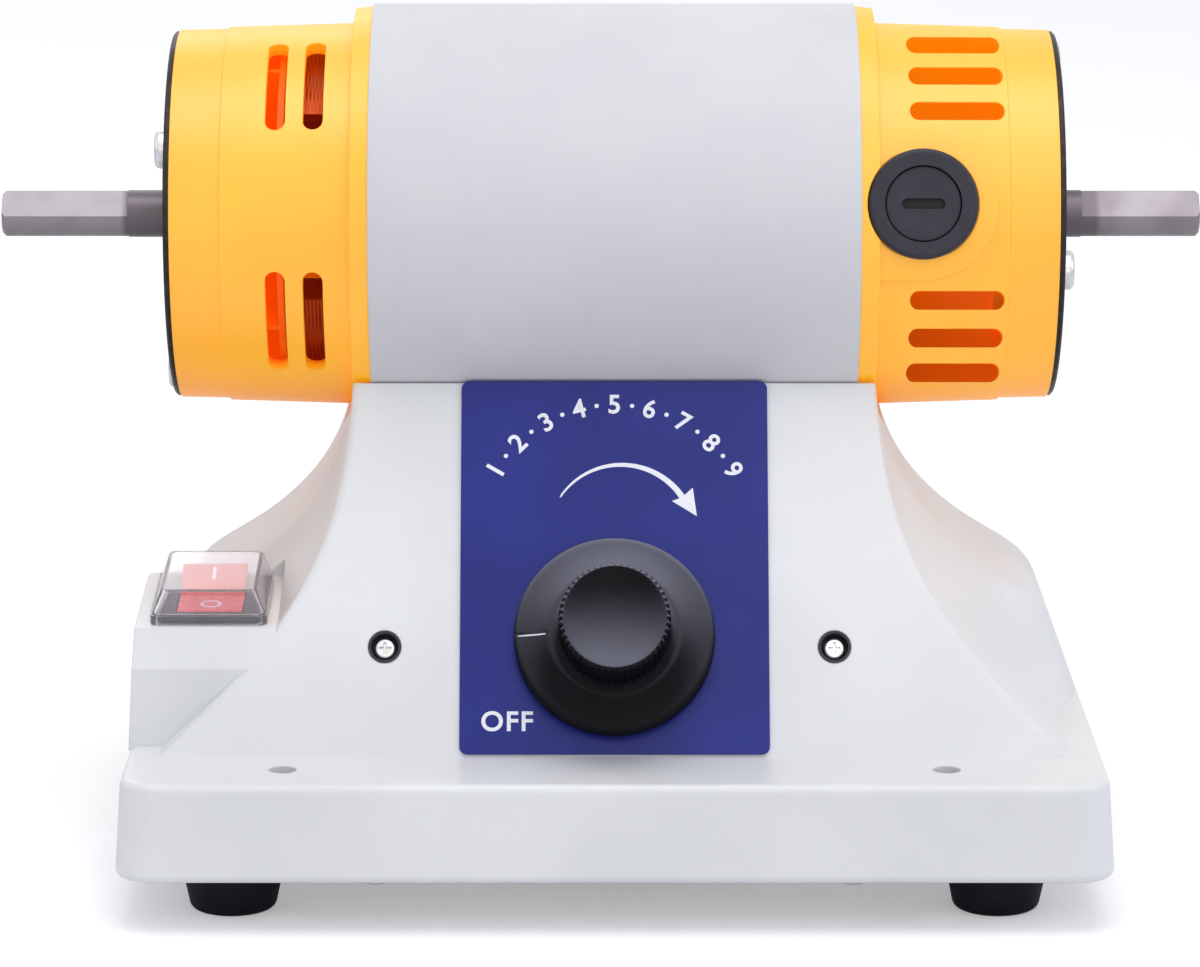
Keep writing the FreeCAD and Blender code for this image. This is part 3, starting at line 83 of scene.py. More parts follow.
class Wire:  # a shader socket that can stand in a sum
    def __init__(self, finish, socket):
        self.finish = finish
        self.socket = socket

    def maths(self, operation, *values):
        return self.finish.node("ShaderNodeMath", {"operation": operation}, dict(enumerate(values)))

    def __add__(self, other):
        return self.maths("ADD", self, other)

    def __radd__(self, other):
        return self.maths("ADD", other, self)

    def __sub__(self, other):
        return self.maths("SUBTRACT", self, other)

    def __rsub__(self, other):
        return self.maths("SUBTRACT", other, self)

    def __mul__(self, other):
        return self.maths("MULTIPLY", self, other)

    def __rmul__(self, other):
        return self.maths("MULTIPLY", other, self)

    def sine(self):
        return self.maths("SINE", self)

    def absolute(self):
        return self.maths("ABSOLUTE", self)

    def root(self):
        return self.maths("SQRT", self)

    def atMost(self, limit):
        return self.maths("MINIMUM", self, limit)

    def ramp(self, low, high):  # 0 below low, 1 above high, smooth between
        return self.finish.node(
            "ShaderNodeMapRange",
            {"interpolation_type": "SMOOTHSTEP"},
            {"Value": self, "From Min": low, "From Max": high},
        )

    def rampMm(self, low, high):
        return self.ramp(low * mm, high * mm)


def tone(red, green, blue):  # light of a colour as a screen shows it, 0 to 255, by the sRGB curve
    light = []
    for part in (red, green, blue):
        c = part / 255
        light.append(c / 12.92 if c <= 0.04045 else ((c + 0.055) / 1.055) ** 2.4)
    return (*light, 1.0)


def varied(value, *swings):  # the value with noises that swing about it, each given as (swing, noise)
    for swing, noise in swings:
        value = value + swing * (noise - 0.5)
    return value


edgeSamples = 4  # rays that look for a hard edge to soften


class Finish:  # one material, or the world, and its nodes
    def __init__(self, name, holder=None, space="Object"):
        self.material = holder or bpy.data.materials.new(name)
        self.material.use_nodes = True
        self.tree = self.material.node_tree
        self.tree.nodes.clear()
        self.place = self.node("ShaderNodeTexCoord", out=space)
        split = self.node("ShaderNodeSeparateXYZ", sockets={0: self.place})
        self.x, self.y, self.z = (Wire(self, out) for out in split.socket.node.outputs)

    def node(self, kind, settings=None, sockets=None, out=0):
        made = self.tree.nodes.new(kind)
        for key, value in (settings or {}).items():
            setattr(made, key, value)
        for key, value in (sockets or {}).items():
            if isinstance(value, Wire):
                self.tree.links.new(value.socket, made.inputs[key])
            else:
                made.inputs[key].default_value = value
        return Wire(self, made.outputs[out]) if made.outputs else None

    def mix(self, share, a, b):
        return self.node("ShaderNodeMix", {"data_type": "RGBA"}, {0: share, 6: a, 7: b}, out=2)

    def tones(self, share, first, second):  # two screen colours, the second where share is 1
        return self.mix(share, tone(*first), tone(*second))

    def grain(self, size, detail=2.0, rough=0.5, place=None):  # noise with features of that size
        sockets = {
            "Vector": place or self.place,
            "Scale": 1 / (size * mm),
            "Detail": detail,
            "Roughness": rough,
        }
        return self.node("ShaderNodeTexNoise", sockets=sockets)

    def clouds(self, size):
        return self.grain(size, detail=3)

    def texture(self, size):  # fine pressed-in texture
        return self.grain(size, detail=3, rough=0.6)

    def rubbing(self, size):  # uneven wear or a film
        return self.grain(size, detail=4, rough=0.6)

    def scratches(self, widths):  # lines, by their width across x, y and z
        scale = tuple(1 / width for width in widths)
        place = self.node("ShaderNodeVectorMath", {"operation": "MULTIPLY"}, {0: self.place, 1: scale})
        return self.grain(1.0, detail=3, rough=0.6, place=place)

    def cells(self, size, feature="F1"):
        sockets = {"Vector": self.place, "Scale": 1 / (size * mm)}
        return self.node("ShaderNodeTexVoronoi", {"feature": feature}, sockets, "Distance")

    def fromAxis(self):  # distance from the motor's axis
        dy = self.y - motorAt.y
        dz = self.z - motorAt.z
        return (dy * dy + dz * dz).root()

    def coat(self, values, colour, rough, height, more=None):
        # height is a relief from 0 to 1: values hold its lift in mm, its strength as relief,
        # the mm over which hard edges soften, and the shares of metal and shine
        bump = {"Height": height, "Distance": values["lift"] * mm, "Strength": values["relief"]}
        if values.get("soften"):
            edge = {"Radius": values["soften"] * mm}
            bump["Normal"] = self.node("ShaderNodeBevel", {"samples": edgeSamples}, edge)
        sockets = {
            "Base Color": colour,
            "Roughness": rough,
            "Metallic": values.get("metal", 0.0),
            "Specular IOR Level": values.get("shine", 0.5),
            "Normal": self.node("ShaderNodeBump", sockets=bump),
        }
        sockets.update(more or {})
        surface = self.node("ShaderNodeBsdfPrincipled", sockets=sockets)
        self.node("ShaderNodeOutputMaterial", sockets={"Surface": surface})
        return self.material


whiteShell = {
    "colour": (229, 230, 232), "shade": (222, 223, 226), "patch": 60, "patchEdge": (0.35, 0.65),
    "rough": 0.36, "rub": 7, "rubSwing": 0.1, "texture": 0.45, "textureSwing": 0.06,
    "lift": 0.012, "relief": 0.6, "soften": 0.6, "shine": 0.45,
}


def paintWhiteShell():
    p = whiteShell
    f = Finish("white_shell")
    fine = f.texture(p["texture"])
    patches = f.clouds(p["patch"]).ramp(*p["patchEdge"])
    colour = f.tones(patches, p["colour"], p["shade"])
    rough = varied(p["rough"], (p["rubSwing"], f.rubbing(p["rub"])), (p["textureSwing"], fine))
    return f.coat(p, colour, rough, fine)


yellowShell = {
    "colour": (252, 174, 14), "pale": (253, 180, 22), "patch": 35, "patchEdge": (0.3, 0.7),
    # painted light: the deeper orange within the cap stands in for light bounced between its inner walls
    "inside": (246, 122, 8),
    "skin": (45.2, 47.4),  # from the motor's axis, where the inner skin ends and the outer begins
    "paintedOuterGlow": (176, 128, 16),  # painted glow on the outer skin, in place of light that shines across the wall
    "paintedGlowLow": (168, 76, 7),  # painted glow within, at the bottom and at the top
    "paintedGlowHigh": (255, 148, 6),
    # strength of the painted glow: the caps give off light, though they are no lamps
    "glow": 0.55,
    "reach": 45.0,  # above and below the axis, over which the painted glow within changes
    "under": (-47.0, -31.0),  # from the axis up: below these the outer skin's painted glow is the inner one
    "rough": 0.4, "rub": 5, "rubSwing": 0.12, "texture": 0.5,
    "lift": 0.012, "relief": 0.6, "soften": 0.4, "shine": 1.0,
    "depth": 3, "depthShare": 0.2, "depthOfTones": (1.0, 0.45, 0.08),  # light that goes under the skin
}


def paintYellowShell():
    p = yellowShell
    f = Finish("yellow_shell")
    outer = f.tones(f.clouds(p["patch"]).ramp(*p["patchEdge"]), p["colour"], p["pale"])
    skin = f.fromAxis().rampMm(*p["skin"])
    # painted bounce light: the inner skin gets the deeper orange
    colour = f.mix(skin, tone(*p["inside"]), outer)
    reach = p["reach"] * mm
    height = f.z.ramp(motorAt.z - reach, motorAt.z + reach)
    low, high = p["under"]
    lit = f.z.ramp(motorAt.z + low * mm, motorAt.z + high * mm)
    # painted glow: the caps give off light of their own, by height within and on the outer skin
    glow = f.mix(skin * lit, f.tones(height, p["paintedGlowLow"], p["paintedGlowHigh"]), tone(*p["paintedOuterGlow"]))
    rough = varied(p["rough"], (p["rubSwing"], f.grain(p["rub"], detail=4)))
    more = {
        "Subsurface Weight": p["depthShare"],
        "Subsurface Radius": p["depthOfTones"],
        "Subsurface Scale": p["depth"] * mm,
        "Emission Color": glow,
        "Emission Strength": p["glow"],
    }
    return f.coat(p, colour, rough, f.texture(p["texture"]), more)


sleevePaint = {
    "colour": (215, 214, 218), "shade": (210, 209, 214), "patch": 45, "patchEdge": (0.35, 0.65),
    "peel": 1.3, "peelShare": 0.7, "powder": 0.22, "rough": 0.55, "powderSwing": 0.1,
    "lift": 0.02, "relief": 0.7, "soften": 0.3, "shine": 0.15,
}


def paintSleeve():  # powder coat with a slight orange peel
    p = sleevePaint
    f = Finish("sleeve_paint")
    peel = f.grain(p["peel"], rough=0.4)
    powder = f.grain(p["powder"])
    patches = f.clouds(p["patch"]).ramp(*p["patchEdge"])
    colour = f.tones(patches, p["colour"], p["shade"])
    relief = p["peelShare"] * peel + (1 - p["peelShare"]) * powder
    return f.coat(p, colour, varied(p["rough"], (p["powderSwing"], powder)), relief)


darkPlate = {
    "colour": (54, 47, 45), "scale": (36, 31, 30), "scaleSize": 2.4, "scaleEdge": (0.35, 0.7),
    "turning": 0.35, "wander": 14, "wanderBy": 6,  # marks left by the lathe tool, and how they stray
    "rough": 0.44, "scaleSwing": 0.2, "lift": 0.01, "relief": 0.5, "soften": 0.25, "metal": 0.7,
}


def paintDarkPlate():
    p = darkPlate
    f = Finish("dark_plate")
    stray = p["wanderBy"] * f.grain(p["wander"])
    turned = (f.fromAxis() * (math.tau / (p["turning"] * mm)) + stray).sine()
    scale = f.grain(p["scaleSize"], detail=5, rough=0.65)
    colour = f.tones(scale.ramp(*p["scaleEdge"]), p["colour"], p["scale"])
    return f.coat(p, colour, varied(p["rough"], (p["scaleSwing"], scale)), 0.5 + 0.5 * turned)


metals = {  # bright metals with fine lines, by their width across x, y and z
    "zinc_steel": {"colour": (218, 218, 221), "stain": (198, 197, 192), "rough": 0.3,
                   "scratch": (1.5, 1.5, 1.5), "soften": 0.15},
    "bearing_steel": {"colour": (214, 214, 216), "stain": (198, 198, 202), "rough": 0.16,
                      "scratch": (0.2, 8.0, 8.0), "soften": 0.1},
    "sink_aluminium": {"colour": (196, 198, 202), "stain": (176, 178, 184), "rough": 0.34,
                       "scratch": (9.0, 9.0, 0.2), "soften": 0.15},
    "terminal_brass": {"colour": (206, 172, 104), "stain": (176, 138, 74), "rough": 0.28,
                       "scratch": (0.3, 4.0, 4.0), "soften": 0.1},
}
polish = {"film": 3.5, "filmEdge": (0.4, 0.75), "lineSwing": 0.16, "filmSwing": 0.1,
          "lift": 0.006, "relief": 0.7, "metal": 1.0}


def paintMetal(name):
    p = {**polish, **metals[name]}
    f = Finish(name)
    lines = f.scratches(p["scratch"])
    film = f.rubbing(p["film"])
    colour = f.tones(film.ramp(*p["filmEdge"]), p["colour"], p["stain"])
    rough = varied(p["rough"], (p["lineSwing"], lines), (p["filmSwing"], film))
    return f.coat(p, colour, rough, lines)


shaftSteel = {
    "colour": (149, 143, 148), "stain": (134, 127, 132), "film": 16, "filmEdge": (0.38, 0.72),
    "neck": (112, 105, 110),  # the necks beside the end plates are duller
    "neckEnds": (121.0, 126.2), "neckFade": 2,  # where they end, to the left and right of the middle
    "scratch": (0.12, 7.0, 7.0), "rough": 0.46, "lineSwing": 0.14, "filmSwing": 0.06,
    "lift": 0.004, "relief": 0.6, "soften": 0.2, "metal": 1.0,
}


def paintShaft():
    p = shaftSteel
    f = Finish("shaft_steel")
    turned = f.scratches(p["scratch"])
    film = f.clouds(p["film"])
    bright = f.tones(film.ramp(*p["filmEdge"]), p["colour"], p["stain"])
    leftEnd, rightEnd = p["neckEnds"]
    leftBright = (0 - f.x).rampMm(leftEnd, leftEnd + p["neckFade"])
    rightBright = f.x.rampMm(rightEnd, rightEnd + p["neckFade"])
    colour = f.mix(leftBright + rightBright, tone(*p["neck"]), bright)
    rough = varied(p["rough"], (p["lineSwing"], turned), (p["filmSwing"], film))
    return f.coat(p, colour, rough, turned)


coreSteel = {
    "sheet": (116, 116, 122), "gap": (60, 60, 66), "sheetEdge": (-0.9, 0.2), "pitch": 0.65,
    "cut": 1.8, "rough": 0.42, "cutSwing": 0.2, "lift": 0.05, "relief": 0.8, "metal": 0.85,
}


def paintCore():  # stacked steel sheets
    p = coreSteel
    f = Finish("core_steel")
    sheets = (f.x * (math.tau / (p["pitch"] * mm))).sine()
    colour = f.tones(sheets.ramp(*p["sheetEdge"]), p["gap"], p["sheet"])
    rough = varied(p["rough"], (p["cutSwing"], f.clouds(p["cut"])))
    return f.coat(p, colour, rough, 0.5 + 0.5 * sheets)


copperWire = {
    "colour": (186, 74, 18), "dark": (104, 34, 6), "strandEdge": (-0.8, 0.6),
    "strand": 0.95, "sway": 9, "swayBy": 3, "blotch": 2, "rough": 0.34, "blotchSwing": 0.2,
    "lift": 0.25, "relief": 0.9, "metal": 0.6, "shine": 0.2,
}


def paintCopperWire():
    p = copperWire
    f = Finish("copper_wire")
    pitch = math.tau / (p["strand"] * mm)
    sway = p["swayBy"] * f.grain(p["sway"])
    strands = (f.fromAxis() * pitch + sway).sine() * (f.x * pitch + sway).sine()
    colour = f.tones(strands.ramp(*p["strandEdge"]), p["dark"], p["colour"])
    rough = varied(p["rough"], (p["blotchSwing"], f.clouds(p["blotch"])))
    return f.coat(p, colour, rough, 0.5 + 0.5 * strands)


copperBar = {
    "colour": (196, 120, 82), "track": (118, 74, 58), "trackHalf": (3, 4),  # where the brushes run
    "scratch": (0.15, 9.0, 9.0), "rough": 0.28, "trackRough": 0.1, "lineSwing": 0.16,
    "lift": 0.01, "relief": 0.8, "metal": 1.0,
}


def paintCommutator():
    p = copperBar
    f = Finish("copper_bar")
    track = 1 - (f.x - middleOf("front_brush").x).absolute().rampMm(*p["trackHalf"])
    turned = f.scratches(p["scratch"])
    colour = f.tones(track, p["colour"], p["track"])
    rough = varied(p["rough"] + p["trackRough"] * track, (p["lineSwing"], turned))
    return f.coat(p, colour, rough, turned)


plastics = {  # moulded plastics and rubber with a pressed-in texture
    "carbon": {"colour": (36, 36, 38), "worn": (58, 58, 60), "rough": 0.5,
               "texture": 0.25, "lift": 0.02, "soften": 0.1, "metal": 0.25},
    "foot_rubber": {"colour": (17, 17, 27), "worn": (25, 25, 35), "rough": 0.55,
                    "texture": 0.6, "lift": 0.03, "soften": 0.5, "shine": 0.15},
    "rocker_red": {"colour": (222, 34, 38), "worn": (228, 48, 50), "rough": 0.28,
                   "texture": 0.4, "lift": 0.008, "soften": 0.3},
    "fan_plastic": {"colour": (236, 102, 4), "worn": (226, 92, 3), "rough": 0.4,
                    "texture": 0.5, "lift": 0.012, "soften": 0.3, "shine": 0.2,
                    # light and glow: a painted glow, the fan gives off light of its own though it is no lamp
                    "light": (206, 88, 2), "glow": 0.4},
    "capacitor_yellow": {"colour": (226, 178, 60), "worn": (214, 164, 50), "rough": 0.4,
                         "texture": 0.4, "lift": 0.01, "soften": 0.4},
    "print_white": {"colour": (238, 238, 247), "worn": (228, 228, 240), "rough": 0.45,
                    "texture": 0.3, "lift": 0.004, "soften": 0.0},
}
wear = {"rub": 6, "rubEdge": (0.42, 0.8), "rubSwing": 0.16, "textureSwing": 0.08, "relief": 0.7}


def wornColour(f, p, rub):
    return f.tones(rub.ramp(*p["rubEdge"]), p["colour"], p["worn"])


def paintPlastic(name):
    p = {**wear, **plastics[name]}
    f = Finish(name)
    fine = f.texture(p["texture"])
    rub = f.rubbing(p["rub"])
    rough = varied(p["rough"], (p["rubSwing"], rub), (p["textureSwing"], fine))
    more = {}
    # painted glow, for a plastic that is given light of its own
    if "light" in p:
        more = {"Emission Color": tone(*p["light"]), "Emission Strength": p["glow"]}
    return f.coat(p, wornColour(f, p, rub), rough, fine, more)


moulding = {
    **wear, "colour": (46, 44, 54), "worn": (56, 54, 65), "rough": 0.42, "texture": 0.3,
    "lift": 0.012, "soften": 0.3, "shine": 0.3,
    "deep": (8, 8, 11),  # painted shade in the slots and rings of the brush caps
    "mouth": (50.6, 51.3),  # from the motor's axis along the brushes, where the slots open
    "capR": (9.5, 9.9), "capsAbove": (130, 140),  # the caps' edge, and the height above the bench
}


def paintMoulding():  # brush holders and caps, switch body, gland and other black mouldings, with painted shade in the slots of the brush caps
    p = moulding
    f = Finish("black_moulding")
    fine = f.texture(p["texture"])
    rub = f.rubbing(p["rub"])
    dy = f.y - motorAt.y
    dz = f.z - motorAt.z
    along = (dy * brushOut.y + dz * brushOut.z).absolute()
    across = (dy * brushOut.z - dz * brushOut.y).absolute()
    # painted shade: the slots and rings of the brush caps are darker, where shade falls
    caps = (1 - across.rampMm(*p["capR"])) * f.z.rampMm(*p["capsAbove"])
    sunk = caps * (1 - along.rampMm(*p["mouth"]))
    colour = f.mix(sunk, wornColour(f, p, rub), tone(*p["deep"]))
    rough = varied(p["rough"], (p["rubSwing"], rub), (p["textureSwing"], fine))
    return f.coat(p, colour, rough, fine)


knobBlack = {
    **wear, "colour": (10, 10, 15), "worn": (14, 14, 20), "rough": 0.38, "texture": 0.35,
    "lift": 0.010, "soften": 0.2, "shine": 0.1,
    "dust": (112, 112, 126), "dustFrom": 0.19, "dustTo": 0.92,  # by how far a face looks up
    "dustThin": 0.9, "dustUneven": 0.2, "dustRough": 0.2,
}


def paintKnob():  # black plastic with a painted highlight on the faces that look up
    p = knobBlack
    f = Finish("knob_black")
    rub = f.rubbing(p["rub"])
    normal = f.node("ShaderNodeTexCoord", out="Normal")
    upward = f.node("ShaderNodeSeparateXYZ", sockets={0: normal}, out="Z")
    # painted highlight: lighter the more a face looks up, as if lit from above
    dust = upward.ramp(p["dustFrom"], p["dustTo"]) * (p["dustThin"] + p["dustUneven"] * rub)
    colour = f.mix(dust, wornColour(f, p, rub), tone(*p["dust"]))
    rough = varied(p["rough"], (p["rubSwing"], rub)) + p["dustRough"] * dust
    return f.coat(p, colour, rough, f.texture(p["texture"]))


panelBlue = {
    "colour": (38, 47, 132), "shade": (34, 42, 122), "patch": 30, "patchEdge": (0.35, 0.7),
    "weave": 0.16, "rough": 0.32, "weaveSwing": 0.1, "smear": 9, "smearSwing": 0.08,
    "lift": 0.006, "relief": 0.5, "soften": 0.25, "shine": 0.2,
}


def paintLabel():
    p = panelBlue
    f = Finish("label_blue")
    weave = f.grain(p["weave"], rough=0.4)
    colour = f.tones(f.clouds(p["patch"]).ramp(*p["patchEdge"]), p["colour"], p["shade"])
    rough = varied(p["rough"], (p["weaveSwing"], weave), (p["smearSwing"], f.clouds(p["smear"])))
    return f.coat(p, colour, rough, weave)


clearHood = {
    "colour": (250, 246, 252), "clear": 0.93, "bend": 1.34, "haze": 2.5,
    "rough": 0.05, "hazeRough": 0.08, "lift": 0.01, "relief": 0.4, "soften": 0.3,
}


def paintHood():
    p = clearHood
    f = Finish("hood_clear")
    haze = f.rubbing(p["haze"])
    rough = p["rough"] + p["hazeRough"] * haze
    more = {"Transmission Weight": p["clear"], "IOR": p["bend"]}
    return f.coat(p, tone(*p["colour"]), rough, haze, more)


circuitBoard = {
    "mask": (26, 92, 56), "track": (44, 122, 76), "trackGap": 4.5, "trackEdge": (0.02, 0.05),
    "solder": (196, 190, 168), "dotGap": 2.6, "dotEdge": (0.14, 0.2),
    "smear": 2, "rough": 0.35, "smearSwing": 0.1, "lift": 0.03, "relief": 0.6,
}


def paintBoard():
    p = circuitBoard
    f = Finish("board_green")
    tracks = 1 - f.cells(p["trackGap"], "DISTANCE_TO_EDGE").ramp(*p["trackEdge"])
    dots = 1 - f.cells(p["dotGap"]).ramp(*p["dotEdge"])
    colour = f.mix(dots, f.tones(tracks, p["mask"], p["track"]), tone(*p["solder"]))
    return f.coat(p, colour, varied(p["rough"], (p["smearSwing"], f.grain(p["smear"]))), tracks)


fuseGlass = {
    "glass": (226, 236, 230), "cap": (196, 192, 184), "capFrom": (6.0, 6.2),  # along, from the middle
    "rough": 0.1, "capRough": 0.18, "smear": 2, "smearRough": 0.04,
    "wave": 1.5, "lift": 0.005, "relief": 0.3,
}


def paintGlass():  # pale glass tube with a metal cap at each end
    p = fuseGlass
    f = Finish("fuse_glass")
    along = (f.y - middleOf("fuse").y).absolute()
    cap = along.rampMm(*p["capFrom"])
    rough = p["rough"] + p["capRough"] * cap + p["smearRough"] * f.grain(p["smear"])
    colour = f.tones(cap, p["glass"], p["cap"])
    return f.coat(p, colour, rough, f.grain(p["wave"]), {"Metallic": cap, "Coat Weight": 1.0})


finishes = {
    "white_shell": paintWhiteShell(),
    "yellow_shell": paintYellowShell(),
    "sleeve_paint": paintSleeve(),
    "dark_plate": paintDarkPlate(),
    "shaft_steel": paintShaft(),
    "core_steel": paintCore(),
    "copper_wire": paintCopperWire(),
    "copper_bar": paintCommutator(),
    "black_moulding": paintMoulding(),
    "knob_black": paintKnob(),
    "label_blue": paintLabel(),
    "hood_clear": paintHood(),
    "board_green": paintBoard(),
    "fuse_glass": paintGlass(),
}
finishes.update({name: paintMetal(name) for name in metals})
finishes.update({name: paintPlastic(name) for name in plastics})

slotOf = {part["node"]: part["material_slot"] for part in frame["record"]["subparts"]}
for name, part in nodes.items():
    for place in part.material_slots:
        place.material = finishes[slotOf[name]]
print("finishes set:", len(finishes))


def addPiece(name, mesh, body, slot, finish=None):
    mesh.name = name
    piece = bpy.data.objects.new(name, mesh)
    bpy.context.scene.collection.objects.link(piece)
    mesh.materials.clear()
    mesh.materials.append(finishes[finish or slot])
    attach(piece, body)
    return piece


weldGap = 1e-7  # metres between points that become one


def shade(mesh, smooth=True, angle=35):
    # smooth, but for edges that turn by more than the angle
    edit = bmesh.new()
    edit.from_mesh(mesh)
    bmesh.ops.remove_doubles(edit, verts=edit.verts, dist=weldGap)
    bmesh.ops.recalc_face_normals(edit, faces=edit.faces)
    for part in edit.faces:
        part.smooth = smooth
    for edge in edit.edges:
        edge.smooth = edge.is_manifold and edge.calc_face_angle(0) < math.radians(angle)
    edit.to_mesh(mesh)
    edit.free()
    return mesh


def meshFrom(points, faces, matrix=Matrix.Identity(4), smooth=False):
    mesh = bpy.data.meshes.new("piece")
    mesh.from_pydata([matrix @ Vector(point) for point in points], [], faces)
    mesh.update()
    return shade(mesh, smooth)


def carve(mesh, tools):  # the mesh with the tool meshes cut out of it
    body = bpy.data.objects.new("carved", mesh)
    bpy.context.scene.collection.objects.link(body)
    cutters = []
    for tool in tools:
        cutter = bpy.data.objects.new("tool", tool)
        bpy.context.scene.collection.objects.link(cutter)
        cut = body.modifiers.new("cut", "BOOLEAN")
        cut.operation = "DIFFERENCE"
        cut.solver = "EXACT"
        cut.object = cutter
        cutters.append(cutter)
    bpy.context.view_layer.update()
    graph = bpy.context.evaluated_depsgraph_get()
    cutMesh = bpy.data.meshes.new_from_object(body.evaluated_get(graph))
    for used in [body] + cutters:
        bpy.data.objects.remove(used)
    return cutMesh


# speed knob: skirt, cone, fluted grip and a dished top, turned about the local z axis
knob = {
    "skirtR": 24.75, "base": 1.6, "rim": 5.8, "coneR": 15.9, "coneTop": 9.3, "gripR": 13.7, "top": 26.1,
    "underside": 4.0, "wall": 1.6, "round": 0.5,
    "rimRound": 0.8, "rimRise": 0.2, "coneDrop": 0.35, "footOut": 0.4, "footRise": 0.6,
    # sag and steps of the stretches from the lower edge of the skirt up to the grip
    "bows": ((0.1, 4), (0.0, 3), (0.22, 6), (-0.35, 10), (-0.25, 5)),
    "flutes": 52, "columns": 8, "fluteDepth": 0.62, "fluteShape": 0.7,  # columns of faces in each flute
    "step": 1.2, "land": 1.3, "lip": 0.05, "dish": 2.3, "dishSteps": 12,
    # foot and top edge of the grip: steps out and up, and the share of the flutes' depth there
    "foot": ((0.05, 0.0, 0.0), (0.0, 0.5, 0.5), (0.0, 1.1, 1.0)),
    "edge": ((-0.2, -0.4, 1.0), (-0.55, -0.12, 0.75), (-0.95, 0.0, 0.3)),
    "ends": 2.0, "straight": (0.25, 0.5, 0.75, 1.0),  # height of foot and edge, rows between them
    "screwR": 1.5, "screwAt": 12.0, "screwFrom": 8, "screwTo": 22,  # hole of the set screw
}


def bow(start, end, sag, steps):  # points of a shallow curve, without its start
    (r0, z0), (r1, z1) = start, end
    length = math.hypot(r1 - r0, z1 - z0)
    nr, nz = (z1 - z0) / length, -(r1 - r0) / length
    out = []
    for k in range(1, steps + 1):
        t = k / steps
        bulge = 4 * sag * t * (1 - t)
        out.append((r0 + (r1 - r0) * t + nr * bulge, z0 + (z1 - z0) * t + nz * bulge))
    return out


def knobProfile():
    # (radius, z) from the middle of the underside, over the skirt, to the foot of the grip
    k = knob
    e = k["round"]
    roof = k["base"] + k["underside"]
    inner = k["skirtR"] - k["wall"]
    at = (k["skirtR"] - e, k["base"])
    rows = [(0.0, roof), (inner, roof), (inner, k["base"]), at]
    corners = [
        (k["skirtR"], k["base"] + e),
        (k["skirtR"], k["rim"] - 2 * e),
        (k["skirtR"] - k["rimRound"], k["rim"] + k["rimRise"]),
        (k["coneR"] + e, k["coneTop"] - k["coneDrop"]),
        (k["gripR"] + k["footOut"], k["coneTop"] + k["footRise"]),
    ]
    for corner, (sag, steps) in zip(corners, k["bows"]):
        rows += bow(at, corner, sag, steps)
        at = corner
    return rows


def gripProfile():
    # (radius, z, share of the flutes' depth) from the foot of the grip to the middle of its top
    k = knob
    low = k["coneTop"] + k["step"]
    high = k["top"]
    inner = k["gripR"] - k["land"]
    rows = [(k["gripR"] + out, low + up, share) for out, up, share in k["foot"]]
    start = rows[-1][1]
    rows += [(k["gripR"], start + (high - low - k["ends"]) * t, 1.0) for t in k["straight"]]
    rows += [(k["gripR"] + out, high + up, share) for out, up, share in k["edge"]]
    for step in range(k["dishSteps"] + 1):
        r = inner * (1 - step / k["dishSteps"])
        rows.append((r, high - k["lip"] - k["dish"] * (1 - (r / inner) ** 2), 0.0))
    return rows


def flutedRadius(row, angle):
    if len(row) < 3 or row[2] == 0:
        return row[0]
    wave = (0.5 - 0.5 * math.cos(knob["flutes"] * angle)) ** knob["fluteShape"]
    return row[0] - knob["fluteDepth"] * row[2] * wave


def turnMesh(rows, count, radiusAt, matrix):  # rows turned about z, the first and last of radius 0
    points, faces = [], []
    for row in rows:
        for c in range(count):
            a = math.tau * c / count
            r = radiusAt(row, a)
            points.append((r * math.cos(a), r * math.sin(a), row[1]))
    for i in range(len(rows) - 1):
        for c in range(count):
            d = (c + 1) % count
            faces.append((i * count + c, i * count + d, (i + 1) * count + d, (i + 1) * count + c))
    return meshFrom(points, faces, matrix, smooth=True)


def pillar(radius, start, end, matrix=Matrix.Identity(4), count=32):  # cylinder between two points
    axis = (end - start).normalized()
    side = axis.orthogonal().normalized()
    other = axis.cross(side)
    points = []
    for base in (start, end):
        for c in range(count):
            a = math.tau * c / count
            points.append(base + radius * (math.cos(a) * side + math.sin(a) * other))
    faces = [tuple(range(count))[::-1], tuple(range(count, 2 * count))]
    faces += [(c, (c + 1) % count, count + (c + 1) % count, count + c) for c in range(count)]
    return meshFrom(points, faces, matrix)


# groove and paint of the pointer: the groove runs out past the skirt, the paint lies in it
pointer = {"width": 1.0, "depth": 0.55, "inner": 16.4, "past": 2, "clear": 6.0,
           "paint": 0.34, "paintOut": 0.9, "paintIn": 0.6, "sunk": 0.05, "thick": 0.12}


def coneHeight(radius):  # height of the knob's skirt at a radius
    share = (knob["skirtR"] - radius) / (knob["skirtR"] - knob["coneR"])
    return knob["rim"] + (knob["coneTop"] - knob["rim"]) * share


def sloped(outer, inner, low, high, y0, y1):  # bar along -x that follows the skirt's slope
    points = []
    for r in (outer, inner):
        for y in (y0, y1):
            for lift in (low, high):
                points.append((-r, y, coneHeight(r) + lift))
    faces = [(0, 1, 3, 2), (4, 6, 7, 5), (0, 4, 5, 1), (2, 3, 7, 6), (1, 5, 7, 3), (0, 2, 6, 4)]
    return meshFrom(points, faces, onFace)


def buildKnob():
    k, p = knob, pointer
    body = turnMesh(knobProfile() + gripProfile(), k["flutes"] * k["columns"], flutedRadius, onFace)
    half = p["width"] / 2
    floor = -p["depth"]
    groove = sloped(k["skirtR"] + p["past"], p["inner"], floor, p["clear"], -half, half)
    screwEnds = (Vector((0, k[key], k["screwAt"])) for key in ("screwFrom", "screwTo"))
    hole = pillar(k["screwR"], *screwEnds, onFace)
    piece = addPiece("knobShell", shade(carve(body, [groove, hole]), angle=30), "knob", "knob_black")
    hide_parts("speed_knob")
    paint = sloped(k["skirtR"] - p["paintOut"], p["inner"] + p["paintIn"],
                   floor - p["sunk"], floor + p["thick"], -half, -half + p["paint"])
    addPiece("knobPointer", paint, "knob", "knob_black", "print_white")


